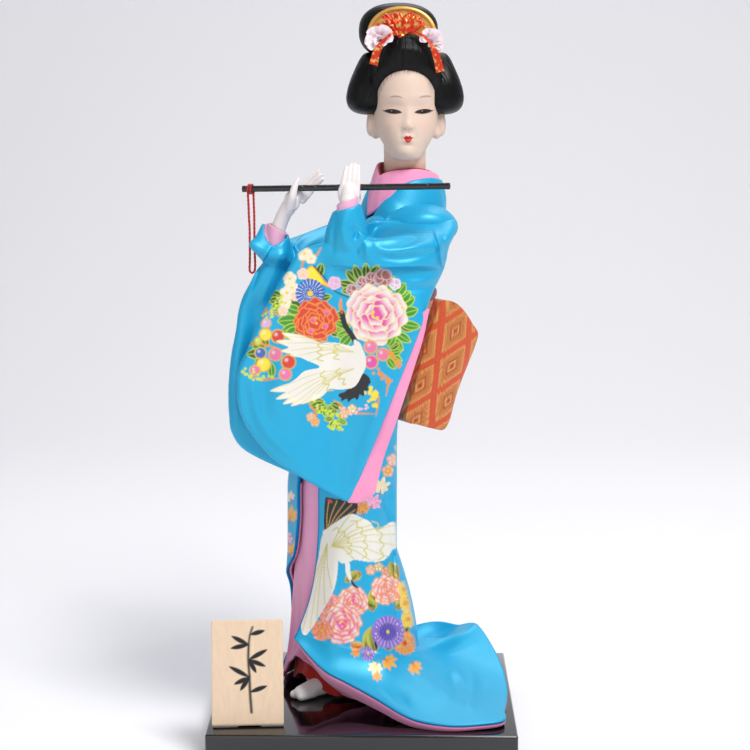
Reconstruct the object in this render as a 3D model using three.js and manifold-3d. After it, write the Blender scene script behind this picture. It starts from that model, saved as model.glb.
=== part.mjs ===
// Geisha doll with a flute, on a lacquered base. Millimetres, +Z up, the base's front faces -Y.
// The base's underside is at Z = 0, and the doll's own heights start at the base's upper face.
import * as THREE from 'three';
import { mergeVertices } from 'three/addons/utils/BufferGeometryUtils.js';
import Module from 'manifold-3d';

const wasm = await Module();
wasm.setup();

// Base board, post and screw
const baseWidth = 125;
const baseDepth = 110;
const baseHeight = 14;
const baseEdge = 1;
const clearance = 0.3;
const pegClearance = 0.15;
const postRadius = 2.5;
const postSocketDepth = 8;
const postHeight = 104;
const screwRadius = 1.5;
const screwHeadRadius = 3.4;
const screwHeadHeight = 2.2;
const screwLength = 18;

// Body: where it stands, which way it faces, and how it leans towards the neck
const standX = -9;
const standY = 9;
const neckX = 17.4;
const heading = 55;
const leanStart = 86;
const leanEnd = 212;
const coreBottom = 22;
const shoulderHeight = 192;
const neckSeat = 209;
const hipHalf = 16.5;
const waistHalf = 13.5;
const chestDepth = 14.5;
const chestHalf = 18.5;
const bodySides = 18;

// Cloth thicknesses and the ease between body and cloth
const satin = 1.2;
const liningCloth = 0.8;
const bodiceEase = 2;
const bodiceBottom = 128;
const bodiceTop = 203;
const obiCloth = 1.8;
const obiBottom = 132;
const obiTop = 168;
const scarfHeight = 4;
const scarfCloth = 1.2;

// Skirts, measured from the post, angles from the body's front towards its left
const skirtTop = 130;
const kneeHeight = 60;
const skirtRadius = 23;
const underRadius = 19.6;
const redRadius = 17.4;
const redTop = 74;
const underTop = 96;
const underReach = 27;
const underInset = 5;
const redReach = 20;
const hemGap = 3.6;
const liningGap = 0.9;
const liningShow = 1.6;
const trainFlare = 9.2;
const leftEdgeTop = 30;
const leftEdgeHem = 15;
const rightEdgeTop = 2;
const rightEdgeHem = -56;
const footLift = 13;
const footLiftAngle = 22;
const footLiftSpread = 38;

// How far the hem reaches from the post, by angle
const hemReach = [
  [0, 29], [15, 30.5], [30, 33], [45, 36], [60, 40.5], [75, 52], [84, 64.8], [90, 73], [98, 80.5],
  [106, 85.6], [112, 80], [120, 75.5], [130, 72], [144, 68.5], [155, 66], [167, 63], [180, 60],
  [188, 57], [196, 50.5], [206, 44], [225, 36], [250, 33], [300, 31],
];

// How far the hem is lifted over its gap, by angle
const hemLift = [
  [0, 25.4], [15, 24.4], [30, 19.4], [45, 14.4], [60, 10.6], [75, 5.6], [84, 0.8], [90, 0], [106, 0],
  [130, 0.2], [144, 3.9], [155, 9.4], [167, 15.8], [180, 13.8], [194, 11.9], [206, 6.4], [225, 0.9],
  [250, 0], [300, 0], [315, 3], [330, 9.5], [345, 18.5],
];

// Height of the train halfway out from the foot of the tube, by angle
const trainMiddle = [
  [0, 9], [100, 9], [130, 9.5], [150, 12], [163, 16.5], [172, 13], [185, 8], [200, 7], [215, 8], [300, 8],
];

// Tube behind the knee: share of the way to the hem, share of its flare, share of the knee's height
const tubeRows = [[0, 0, 1], [0.12, 0.28, 0.867], [0.3, 0.7, 0.633], [0.42, 0.91, 0.45], [0.5, 1, 0.317]];

// Feet
const footLength = 30;
const footHalf = 4.4;
const footHeight = 9;
const footSpacing = 7;
const leftToe = 30;
const rightToe = 14;
const ankleRadius = 4;

// Neck and head, measured from the neck's axis
const neckRadius = 8.4;
const neckDowelRadius = 2.5;
const neckDowelDepth = 14;
const neckDowelRise = 16;
const neckLength = 16.3;
const headHeight = 47;
const headHalf = 13.6;
const headFront = 18.2;
const headBack = 13.5;
const earRise = 13.5;
const earHalf = [1.6, 3, 4.6];
const noseRise = 12.4;
const noseHalf = [1.5, 2, 3.6];

// Hair and what is set into it, measured from the neck's axis and up from the chin
const frontHair = { at: [0, -5.5, 40.7], half: [15.5, 15, 10.5] };
const wingHair = { at: [13, 1, 30.7], half: [11, 14.5, 12.5] };
const backHair = { at: [0, 10, 28.7], half: [14, 13.5, 15] };
const topknotHair = { at: [-2.5, 4, 51.7], half: [17, 11, 11] };
const combHalf = 14.2;
const combRise = 13.5;
const combThickness = 1.5;
const combAt = [-1.8, -9, 48.2];
const combTilt = 8;
const foilHalf = 8.5;
const foilRise = 10;
const foilThickness = 1;
const flowerThickness = 3;
const leftFlower = { at: [9.8, -12.6, 48.5], radius: 4.7 };
const rightFlower = { at: [-10.6, -12.6, 48.3], radius: 5.8 };
const streamerThickness = 0.6;
const leftStreamer = { top: [11.8, -13.6, 45.7], end: [14, -15.4, 34.2], half: 1.7 };
const rightStreamer = { top: [-12.2, -13.6, 44.7], end: [-13.4, -15.4, 36.7], half: 1.8 };

// Collars round the neck: reach and top height at the front, sides and back
const collarFront = 18;
const collarSide = 12.4;
const collarBack = 16;
const collarFrontTop = 209;
const collarSideTop = 221;
const collarBackTop = 214;
const collarSlope = 0.2;
const collarOpening = 8;
const underCollarWidth = 11;
const kimonoCollarDrop = 6;
const kimonoCollarWidth = 12;
const trimRise = 1;

// Flute and its cord
const fluteLeft = [-47.5, -22, 215];
const fluteRight = [34.3, -38, 217.4];
const fluteRadius = 1.25;
const knotX = -44.4;
const knotCord = 1;
const cordRadius = 0.45;
const cordStep = 2.3;
// The cord's loop, from the knot: across, away from the viewer, down
const cordRoute = [
  [-0.9, 0.2, 2.8], [-1.0, 0.3, 5], [-1.3, 0.4, 8], [-1.5, 0.5, 12], [-1.5, 0.7, 17],
  [-1.6, 0.8, 23], [-1.8, 0.9, 29], [-2.0, 0.9, 34], [-2.0, 0.9, 37.6], [-1.5, 0.9, 39.5],
  [0.0, 0.9, 40.4], [1.5, 0.9, 39.5], [2.0, 0.9, 37.6], [2.0, 0.9, 34], [1.7, 0.9, 29],
  [1.5, 0.8, 23], [1.4, 0.7, 17], [1.4, 0.5, 12], [1.2, 0.4, 8], [1.0, 0.3, 5], [0.9, 0.2, 2.8],
];

// Arms, hands and sleeves
const wireRadius = 1;
const armWireStep = 7;
const wristRadius = 3.5;
const forearmRadius = 4.1;
const fingerRadius = 1.2;
const leftArm = {
  shoulder: [24, -1, 185], elbow: [21.5, -23, 182], end: [-4, -35, 195], wrist: [-6.4, -35, 207],
};
const rightArm = {
  shoulder: [5, 21, 187], elbow: [-22, -2, 180], end: [-36, -17.5, 192], wrist: [-31.8, -21.6, 206],
};
const upperSleeve = 12;
const sleeveMouth = 0.15;
const elbowSleeve = 11.5;
const leftCuffRadius = 6.6;
const rightCuffRadius = 6.9;
const cuffWall = 0.7;
const cuffLength = 6;
const panelThickness = 4;
const panelFold = 1.2;
// Corners of the hanging panels: hand side top, body side top, body side hem, hand side hem
const leftPanel = [[-14, -36, 199], [29.5, -36, 173], [-4.2, -27, 90], [-57, -30, 117]];
const rightPanel = [[-39, -26, 193], [-4, -21, 184], [-3, -17.6, 95], [-57, -20, 104]];
const leftHemRound = 0.32;
const rightHemRound = 0.2;
const liningInset = 4;
const leftLiningShow = 12;
const rightLiningShow = 3;

// Drum bow on the back: outline from the body's axis, backwards and up
const bowHalf = 18;
const bowOutline = [
  [15, 167], [22, 165.8], [30, 161], [40, 151.4], [39.5, 136], [38.7, 117], [35.6, 110.5], [15, 117.5],
];
const bowEdge = 2.5;

// Wooden sign on the base, leaning back on its wedge
const plaqueWidth = 29;
const plaqueHeight = 43;
const plaqueThickness = 2.4;
const plaqueLean = 15;
const plaqueTurn = 4;
const plaqueFromSide = 16.6;
const plaqueFromFront = 8.5;

const degrees = THREE.MathUtils.degToRad;
const { lerp, smoothstep } = THREE.MathUtils;
const vector = (point) => new THREE.Vector3(...point);

// Solid from a closed geometry, its triangles that have no area dropped
function solid(geometry) {
  const bare = new THREE.BufferGeometry();
  bare.setAttribute('position', geometry.getAttribute('position').clone());
  bare.setIndex(geometry.index);
  const merged = mergeVertices(bare, 1e-4);
  const index = merged.index.array;
  const triangles = [];
  for (let i = 0; i < index.length; i += 3) {
    const [a, b, c] = [index[i], index[i + 1], index[i + 2]];
    if (a !== b && b !== c && a !== c) triangles.push(a, b, c);
  }
  return new wasm.Manifold(new wasm.Mesh({
    numProp: 3,
    vertProperties: new Float32Array(merged.getAttribute('position').array),
    triVerts: new Uint32Array(triangles),
  }));
}

// Solid from points and triangles, turned to face outwards
function solidFrom(points, triangles) {
  let volume = 0;
  for (let i = 0; i < triangles.length; i += 3) {
    const [a, b, c] = [0, 1, 2].map((k) => points[triangles[i + k]]);
    volume += a.dot(b.clone().cross(c));
  }
  const facing = volume > 0 ? triangles : [...triangles].reverse();
  const geometry = new THREE.BufferGeometry();
  const places = points.flatMap((p) => p.toArray());
  geometry.setAttribute('position', new THREE.Float32BufferAttribute(places, 3));
  geometry.setIndex(facing);
  return solid(geometry);
}

// Solid lofted through rings of points, its ends closed at their middles
function loft(rings) {
  const count = rings[0].length;
  const points = rings.flat();
  const triangles = [];
  for (let r = 0; r + 1 < rings.length; r += 1) {
    for (let i = 0; i < count; i += 1) {
      const a = r * count + i;
      const b = r * count + (i + 1) % count;
      triangles.push(a, b, b + count, a, b + count, a + count);
    }
  }
  for (const [ring, turned] of [[0, true], [rings.length - 1, false]]) {
    const middle = new THREE.Vector3();
    rings[ring].forEach((p) => middle.addScaledVector(p, 1 / count));
    points.push(middle);
    for (let i = 0; i < count; i += 1) {
      const a = ring * count + i;
      const b = ring * count + (i + 1) % count;
      triangles.push(...(turned ? [b, a] : [a, b]), points.length - 1);
    }
  }
  return solidFrom(points, triangles);
}

// Closed solid between two grids of points, each a list of columns; a ring where they close
function sheet(front, back, closed) {
  const columns = front.length;
  const rows = front[0].length;
  const points = [...front.flat(), ...back.flat()];
  const triangles = [];
  const at = (side, column, row) => side * columns * rows + (column % columns) * rows + row;
  const quad = (a, b, c, d) => triangles.push(a, b, c, a, c, d);
  const spans = closed ? columns : columns - 1;
  const last = rows - 1;
  for (let c = 0; c < spans; c += 1) {
    for (let r = 0; r < last; r += 1) {
      quad(at(0, c, r), at(0, c + 1, r), at(0, c + 1, r + 1), at(0, c, r + 1));
      quad(at(1, c, r), at(1, c, r + 1), at(1, c + 1, r + 1), at(1, c + 1, r));
    }
    quad(at(0, c, 0), at(1, c, 0), at(1, c + 1, 0), at(0, c + 1, 0));
    quad(at(0, c, last), at(0, c + 1, last), at(1, c + 1, last), at(1, c, last));
  }
  for (let r = 0; r < last && !closed; r += 1) {
    quad(at(0, 0, r), at(0, 0, r + 1), at(1, 0, r + 1), at(1, 0, r));
    quad(at(0, spans, r), at(1, spans, r), at(1, spans, r + 1), at(0, spans, r + 1));
  }
  return solidFrom(points, triangles);
}

// A turned shape between two points: the profile runs from one end of the axis to the other
function turned(from, to, profile, sides) {
  const geometry = new THREE.LatheGeometry(profile.map(([r, z]) => new THREE.Vector2(r, z)), sides);
  const axis = to.clone().sub(from).normalize();
  geometry.applyQuaternion(new THREE.Quaternion().setFromUnitVectors(new THREE.Vector3(0, 1, 0), axis));
  geometry.translate(...from);
  return solid(geometry);
}

// Straight rod between two points
function rod(from, to, radius, sides = 16) {
  const length = from.distanceTo(to);
  return turned(from, to, [[0, 0], [radius, 0], [radius, length], [0, length]], sides);
}

// Rod with round ends, which may taper
function capsule(start, stop, startRadius, stopRadius = startRadius, sides = 8, arcs = 3) {
  const from = vector(start);
  const to = vector(stop);
  const length = from.distanceTo(to);
  const profile = [];
  for (let i = 0; i <= arcs; i += 1) {
    const angle = degrees((i * 90) / arcs);
    profile.push([startRadius * Math.sin(angle), -startRadius * Math.cos(angle)]);
  }
  for (let i = arcs; i >= 0; i -= 1) {
    const angle = degrees((i * 90) / arcs);
    profile.push([stopRadius * Math.sin(angle), length + stopRadius * Math.cos(angle)]);
  }
  return turned(from, to, profile, sides);
}

// Bent wire through a few points
function wire(points, radius, wireStep, sides) {
  const section = new THREE.Shape();
  for (let i = 0; i < sides; i += 1) {
    const angle = degrees((i * 360) / sides);
    const place = [radius * Math.cos(angle), radius * Math.sin(angle)];
    if (i === 0) section.moveTo(...place);
    else section.lineTo(...place);
  }
  section.closePath();
  const path = new THREE.CatmullRomCurve3(points, false, 'centripetal');
  const steps = Math.round(path.getLength() / wireStep);
  return solid(new THREE.ExtrudeGeometry(section, { steps, extrudePath: path, bevelEnabled: false }));
}

// Egg shape with three half axes
function egg(middle, half, grow = 0, across = 16, down = 10) {
  const geometry = new THREE.SphereGeometry(1, across, down);
  geometry.rotateX(Math.PI / 2);
  geometry.scale(...half.map((size) => size + grow));
  geometry.translate(...middle);
  return solid(geometry);
}

// Flat plate of an outline, standing in the XZ plane and centred on its thickness
function plate(shape, thickness) {
  const depth = thickness;
  const geometry = new THREE.ExtrudeGeometry(shape, { depth, bevelEnabled: false, curveSegments: 5 });
  geometry.translate(0, 0, -thickness / 2);
  geometry.rotateX(Math.PI / 2);
  return geometry;
}

const join = (pieces) => pieces.reduce((whole, piece) => whole.add(piece));
const cut = (piece, tools) => tools.reduce((whole, tool) => whole.subtract(tool), piece);

// The body's axis and the direction at an angle from its front
function axisX(height) {
  return lerp(standX, neckX, smoothstep(height, leanStart, leanEnd));
}

function direction(angle) {
  const turn = degrees(angle);
  const face = degrees(heading);
  return [
    -Math.sin(face) * Math.cos(turn) + Math.cos(face) * Math.sin(turn),
    -Math.cos(face) * Math.cos(turn) - Math.sin(face) * Math.sin(turn),
  ];
}

function polar(middleX, middleY, angle, reach, height) {
  const [x, y] = direction(angle);
  return new THREE.Vector3(middleX + reach * x, middleY + reach * y, height);
}

// Value at a place between rows of [place, value, ...], eased from row to row
function between(rows, place, column = 1) {
  const next = rows.findIndex((row) => row[0] >= place);
  if (next < 0) return rows[rows.length - 1][column];
  if (next === 0) return rows[0][column];
  const [low, high] = [rows[next - 1], rows[next]];
  return lerp(low[column], high[column], smoothstep(place, low[0], high[0]));
}

// Body sections: height, half depth, half width
const bodyRows = [
  [coreBottom, hipHalf - 3, hipHalf - 3],
  [kneeHeight, hipHalf - 1.5, hipHalf - 1.5],
  [leanStart, hipHalf - 1, hipHalf],
  [(obiBottom + obiTop) / 2, waistHalf - 1, waistHalf],
  [shoulderHeight - 18, chestDepth - 0.5, chestHalf - 1.5],
  [shoulderHeight - 6, chestDepth, chestHalf],
  [shoulderHeight, chestDepth - 2, chestHalf - 1],
  [bodiceTop, neckRadius, neckRadius + 1.6],
  [neckSeat - clearance, neckRadius - 2, neckRadius - 1],
];

function bodyRing(height, ease) {
  const depth = between(bodyRows, height, 1) + ease;
  const width = between(bodyRows, height, 2) + ease;
  return Array.from({ length: bodySides }, (_, i) => {
    const angle = (360 * i) / bodySides;
    const reach = 1 / Math.hypot(Math.cos(degrees(angle)) / depth, Math.sin(degrees(angle)) / width);
    return polar(axisX(height), standY, angle, reach, height);
  });
}

function heights(low, high, count) {
  return Array.from({ length: count }, (_, i) => lerp(low, high, i / (count - 1)));
}

// Cloth tube round the body through a list of heights
function bodySleeve(list, ease, cloth) {
  const rings = (grow) => list.map((height) => bodyRing(height, grow));
  const columns = (all) => all[0].map((_, i) => all.map((ring) => ring[i]));
  return sheet(columns(rings(ease + cloth)), columns(rings(ease)), true);
}

const bodySolid = (list, ease) => loft(list.map((height) => bodyRing(height, ease)));

// Room that the bodice or the obi takes, with the clearance round it
const bodiceHeights = heights(bodiceBottom, bodiceTop, 8);
const obiHeights = heights(obiBottom, obiTop, 4);
const scarfHeights = heights(obiTop + clearance, obiTop + scarfHeight, 2);
const bodiceOuter = bodiceEase + satin;
const obiEase = bodiceOuter + clearance;

function bodiceRoom() {
  return bodySolid([bodiceBottom - clearance, ...bodiceHeights, neckSeat], bodiceOuter + clearance);
}

function obiRoom() {
  const top = obiTop + scarfHeight + clearance;
  const list = [obiBottom - clearance, ...obiHeights, ...scarfHeights, top];
  return bodySolid(list, obiEase + obiCloth + clearance);
}

// Skirts: a tube down to the knee, then a curve out to the hem; value at an angle from rows round the hem
function aroundHem(table, angle) {
  const rows = [...table, [table[0][0] + 360, table[0][1]]];
  const place = ((angle % 360) + 360) % 360;
  const next = rows.findIndex((row) => row[0] > place);
  const row = (k) => {
    const turns = Math.floor(k / table.length);
    const [at, value] = table[k - turns * table.length];
    return [at + 360 * turns, value];
  };
  const [p, q, r, s] = [next - 2, next - 1, next, next + 1].map(row);
  const t = (place - q[0]) / (r[0] - q[0]);
  const slopeIn = ((r[1] - p[1]) / (r[0] - p[0])) * (r[0] - q[0]);
  const slopeOut = ((s[1] - q[1]) / (s[0] - q[0])) * (r[0] - q[0]);
  return q[1] * (1 - 3 * t * t + 2 * t ** 3) + r[1] * (3 * t * t - 2 * t ** 3)
    + slopeIn * (t - 2 * t * t + t ** 3) + slopeOut * (t ** 3 - t * t);
}

// Rise near one angle, as a smooth hump
function hump(angle, middle, spread) {
  const away = Math.abs(((angle - middle + 540) % 360) - 180);
  return 1 - smoothstep(away, 0, spread);
}

const hemHeight = (angle) => hemGap + Math.max(0, aroundHem(hemLift, angle));
const hemOut = (angle) => aroundHem(hemReach, angle);

// The train behind and to the left: the tube keeps on down, then lies out from its foot
function trainPoint(radius, end, hem, angle, t) {
  const foot = radius + trainFlare;
  const footHeight = tubeRows[tubeRows.length - 1][2] * kneeHeight;
  if (t < 0.5) {
    return [radius + trainFlare * between(tubeRows, t, 1), kneeHeight * between(tubeRows, t, 2)];
  }
  const outward = 2 * t - 1;
  const middle = 2 * aroundHem(trainMiddle, angle) - footHeight / 2 - hem / 2;
  const inward = 1 - outward;
  const height = footHeight * inward ** 2 + 2 * middle * outward * inward + hem * outward ** 2;
  return [foot + (end - foot) * outward ** 1.35, height];
}

// Point on a skirt of one radius: along is 0 at the top, 1 at the knee and 2 at the hem
function flaredPoint({ top, radius, waist, reach, hem, folds }, angle, along) {
  const ripple = folds * Math.sin(degrees(9 * angle));
  if (along <= 1) {
    const height = lerp(top, kneeHeight, along);
    const upper = lerp(waist, radius, smoothstep(along, 0, 0.6)) + ripple * along;
    return polar(axisX(height), standY, angle, upper, height);
  }
  const t = along - 1;
  const end = reach(angle);
  const low = Math.max(hemGap + 2 + 0.12 * kneeHeight, hem(angle) + 4);
  const s = 1 - t;
  const curve = (a, b, c, d) => a * s ** 3 + 3 * b * t * s * s + 3 * c * t * t * s + d * t ** 3;
  const out = curve(radius, radius + 1.5, radius + 0.35 * (end - radius), end);
  const height = curve(kneeHeight, 0.6 * kneeHeight, low, hem(angle));
  const place = ((angle % 360) + 360) % 360;
  const share = smoothstep(place, 50, 105) * (1 - smoothstep(place, 205, 238)) * smoothstep(end, 40, 60);
  const [trainOut, trainHeight] = trainPoint(radius, end, hem(angle), angle, t);
  const far = lerp(out, trainOut, share) + ripple * (1 + 2 * t * (1 - t));
  return polar(standX, standY, angle, far, lerp(height, trainHeight, share));
}

const waistOf = (top) => between(bodyRows, top, 1) + bodiceOuter + 4 * clearance;
const kimonoSkirt = {
  top: skirtTop, radius: skirtRadius, waist: waistOf(skirtTop) + satin,
  reach: hemOut, hem: hemHeight, folds: 0.5,
};

// Hem of an inner skirt, lifted where the left foot comes out
const footHem = (angle) => hemGap / 2 + footLift * hump(angle, footLiftAngle, footLiftSpread);
const underSkirt = {
  top: underTop, radius: underRadius, waist: underRadius, hem: footHem, folds: 0.3,
  reach: (angle) => Math.min(underReach, hemOut(angle) - underInset),
};
const redSkirt = {
  top: redTop, radius: redRadius, waist: redRadius, hem: footHem, folds: 0.2,
  reach: () => redReach,
};

const skirtPoint = (angle, along) => flaredPoint(kimonoSkirt, angle, along);

function skirtNormal(angle, along) {
  const step = 0.02;
  const across = skirtPoint(angle + 50 * step, along).sub(skirtPoint(angle - 50 * step, along));
  const down = skirtPoint(angle, Math.min(along + step, 2)).sub(skirtPoint(angle, along - step));
  return down.cross(across).normalize();
}

// Sheet that follows the kimono skirt at a depth under its face, through a list of places along it
function skirtSheet(places, depth, cloth, show) {
  const columns = 37;
  const column = (c, sink) => places.map((along) => {
    const drift = smoothstep(along, 0.7, 1.7);
    const first = lerp(leftEdgeTop, leftEdgeHem, drift);
    const final = 360 + lerp(rightEdgeTop, rightEdgeHem, drift);
    const angle = lerp(first, final, c / (columns - 1));
    const face = skirtPoint(angle, along);
    const down = face.clone().sub(skirtPoint(angle, along - 0.05)).normalize();
    face.addScaledVector(skirtNormal(angle, along), -sink);
    return face.addScaledVector(down, along < 2 ? 0 : show);
  });
  const grid = (sink) => Array.from({ length: columns }, (_, c) => column(c, sink));
  return sheet(grid(depth), grid(depth + cloth), false);
}

const skirtPlaces = [0, 0.25, 0.5, 0.75, 1, 1.15, 1.3, 1.42, 1.5, 1.58, 1.68, 1.8, 1.9, 2];
const liningPlaces = skirtPlaces.filter((along) => along > 1.1);

// Room behind the waist that the skirt's upper part takes
function skirtRoom() {
  const grow = 2 * clearance;
  const ring = (along, rise) => Array.from({ length: bodySides }, (_, i) => {
    const { x, y, z } = skirtPoint((360 * i) / bodySides, along);
    const [u, v] = direction((360 * i) / bodySides);
    return new THREE.Vector3(x + u * grow, y + v * grow, z + rise);
  });
  const upper = skirtPlaces.filter((along) => along <= 1).map((along) => ring(along, 0));
  return loft([ring(0, grow), ...upper]);
}

// Plain skirt under the kimono, closed all round
function innerSkirt(skirt, cloth, rows) {
  const column = (c, sink) => heights(0, 2, rows).map((along) => {
    const angle = (360 * c) / bodySides;
    const point = flaredPoint(skirt, angle, along);
    const [x, y] = direction(angle);
    return point.add(new THREE.Vector3(-sink * x, -sink * y, 0));
  });
  const grid = (sink) => Array.from({ length: bodySides }, (_, c) => column(c, sink));
  return sheet(grid(0), grid(cloth), true);
}

// Collar band round the neck, its top edge lowest where it crosses in front; all bands lean alike
function collarBand(push, drop, width, cloth, opening) {
  const columns = 17;
  const reaches = [[0, collarBack], [0.5, collarSide], [0.88, collarSide + 0.5], [1, collarFront]];
  const tops = [[0, collarBackTop], [0.5, collarSideTop], [0.75, collarSideTop], [1, collarFrontTop]];
  const column = (c, sink) => {
    const angle = lerp(opening, 360 - opening, c / (columns - 1));
    const toFront = 0.5 + 0.5 * Math.cos(degrees(angle));
    return [0, 0.5, 1].map((share) => {
      const down = drop + width * share;
      const reach = between(reaches, toFront) + push - sink + collarSlope * down;
      return polar(neckX, standY, angle, reach, between(tops, toFront) - down);
    });
  };
  const grid = (sink) => Array.from({ length: columns }, (_, c) => column(c, sink));
  return sheet(grid(0), grid(cloth), false);
}

const trimPush = -liningCloth - 2 * clearance;
const collarTrim = () => collarBand(trimPush, -trimRise, underCollarWidth, liningCloth, collarOpening);
const underCollar = () => collarBand(0, 0, underCollarWidth, liningCloth, collarOpening);
const kimonoCollarPush = satin + 2 * clearance;
const kimonoCollar = () => (
  collarBand(kimonoCollarPush, kimonoCollarDrop, kimonoCollarWidth, satin, collarOpening)
);

function collarRoom() {
  const room = 2 * clearance;
  const width = kimonoCollarWidth + 2 * room;
  const cloth = satin + 2 * room;
  return collarBand(kimonoCollarPush + room, kimonoCollarDrop - room, width, cloth, collarOpening - 2);
}

// Head: rings from the chin to the crown, as shares of its height, half width, front and back
const chinHeight = neckSeat + neckLength;

function headSolid(grow) {
  const shares = [
    [0, 0.18, 0.68, -0.44], [0.03, 0.42, 0.86, -0.2], [0.1, 0.69, 0.955, 0.15], [0.23, 0.9, 1, 0.6],
    [0.38, 0.99, 1, 0.9], [0.57, 1, 1, 1], [0.74, 0.94, 0.935, 0.97], [0.89, 0.73, 0.74, 0.78],
    [1, 0.3, 0.3, 0.35],
  ];
  const rings = shares.map(([rise, half, front, back]) => {
    const low = headFront * front + grow;
    const high = headBack * back + grow;
    const height = chinHeight + headHeight * rise + grow * Math.sign(rise - 0.5);
    return Array.from({ length: 18 }, (_, i) => {
      const turn = degrees(20 * i);
      const x = (headHalf * half + grow) * Math.sin(turn);
      const y = (high - low) / 2 - ((high + low) / 2) * Math.cos(turn);
      return new THREE.Vector3(neckX + x, standY + y, height);
    });
  });
  return loft(rings);
}

const onHead = ([x, y, rise]) => [neckX + x, standY + y, chinHeight + rise];
const mirrored = ([x, y, rise]) => [-x, y, rise];

// Ribbon that hangs from a blossom down over the hair
function streamer({ top, end, half }, grow) {
  const rows = 5;
  const grid = (side) => [-1, 0, 1].map((edge) => Array.from({ length: rows }, (_, r) => {
    const t = r / (rows - 1);
    const [x, y, z] = [0, 1, 2].map((k) => lerp(top[k], end[k], t));
    const wave = 0.5 * Math.sin(degrees(300 * t));
    const off = side * (streamerThickness / 2 + grow);
    const overrun = (t - 0.5) * 2 * grow;
    return vector(onHead([x + edge * (half + grow), y + wave + off, z - overrun]));
  }));
  return sheet(grid(-1), grid(1), false);
}

// Blossom of round petals, seen from the front
function blossom({ at, radius }, grow) {
  const shape = new THREE.Shape();
  const petals = 6;
  const points = 24;
  for (let i = 0; i < points; i += 1) {
    const angle = (2 * Math.PI * i) / points;
    const reach = (radius + grow) * (0.86 + 0.14 * Math.abs(Math.cos((petals * angle) / 2)) ** 0.6);
    const place = [reach * Math.cos(angle), reach * Math.sin(angle)];
    if (i === 0) shape.moveTo(...place);
    else shape.lineTo(...place);
  }
  shape.closePath();
  const geometry = plate(shape, flowerThickness + 2 * grow);
  geometry.translate(...onHead(at));
  return solid(geometry);
}

function comb(grow) {
  const shape = new THREE.Shape();
  shape.absellipse(0, 0, combHalf + grow, combRise + grow, 0, Math.PI, false, 0);
  shape.lineTo(-combHalf - grow, -2 - grow);
  shape.lineTo(combHalf + grow, -2 - grow);
  shape.closePath();
  const geometry = plate(shape, combThickness + 2 * grow);
  geometry.rotateX(degrees(-combTilt));
  geometry.translate(...onHead(combAt));
  return solid(geometry);
}

// Foil bow: two loops that meet at a narrow waist
function foilBow(grow) {
  const shape = new THREE.Shape();
  const waist = foilRise * 0.18 + grow;
  const loop = foilRise * 0.5 + grow;
  const tip = foilHalf + grow;
  shape.moveTo(0, waist);
  shape.quadraticCurveTo(tip * 0.5, loop * 1.3, tip, loop * 0.7);
  shape.quadraticCurveTo(tip * 0.86, 0, tip, -loop * 0.7);
  shape.quadraticCurveTo(tip * 0.5, -loop * 1.1, 0, -waist);
  shape.quadraticCurveTo(-tip * 0.5, -loop * 1.1, -tip, -loop * 0.7);
  shape.quadraticCurveTo(-tip * 0.86, 0, -tip, loop * 0.7);
  shape.quadraticCurveTo(-tip * 0.5, loop * 1.3, 0, waist);
  const geometry = plate(shape, foilThickness + 2 * grow);
  geometry.rotateX(degrees(-combTilt));
  const front = combThickness / 2 + clearance + foilThickness / 2;
  const [x, y, z] = combAt;
  geometry.translate(...onHead([x + 1, y - front, z + foilRise * 0.5]));
  return solid(geometry);
}

// Flute and what rides on it
function fluteAt(x) {
  const t = (x - fluteLeft[0]) / (fluteRight[0] - fluteLeft[0]);
  return vector(fluteLeft).lerp(vector(fluteRight), t);
}

function flute(grow) {
  const from = vector(fluteLeft);
  const to = vector(fluteRight);
  const along = to.clone().sub(from).normalize().multiplyScalar(grow);
  return rod(from.sub(along), to.add(along), fluteRadius + grow, 16);
}

// Cord knot: a ring round the flute with a bead under it
function fluteKnot() {
  const middle = fluteAt(knotX);
  const along = fluteAt(knotX + 1).sub(middle).normalize();
  const ringRadius = fluteRadius + clearance + knotCord;
  const from = middle.clone().addScaledVector(along, -knotCord);
  const profile = Array.from({ length: 6 }, (_, i) => {
    const angle = degrees(72 * i);
    return [ringRadius - knotCord * Math.cos(angle), knotCord - knotCord * Math.sin(angle)];
  });
  const bead = middle.clone().add(new THREE.Vector3(0, 0, -ringRadius));
  const knot = turned(from, middle, profile, 10).add(egg(bead, [1.7, 1.2, 1], 0, 8, 5));
  return cut(knot, [flute(clearance)]);
}

function cordLoop() {
  const knot = fluteAt(knotX).add(new THREE.Vector3(0, 0, -fluteRadius - 2 * knotCord - clearance));
  const points = cordRoute.map(([x, y, down]) => (
    knot.clone().add(new THREE.Vector3(x, y, clearance + 1.7 - down))
  ));
  return wire(points, cordRadius, cordStep, 8);
}

// Hands: forearm, palm, four fingers and a thumb, with room for the flute
const finger = (from, to, taper) => capsule(from, to, fingerRadius, fingerRadius * taper, 6, 2);
const forearm = ({ end, wrist }, grow) =>
  capsule(end, wrist, forearmRadius + grow, wristRadius + grow, 8, 2);

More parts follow.
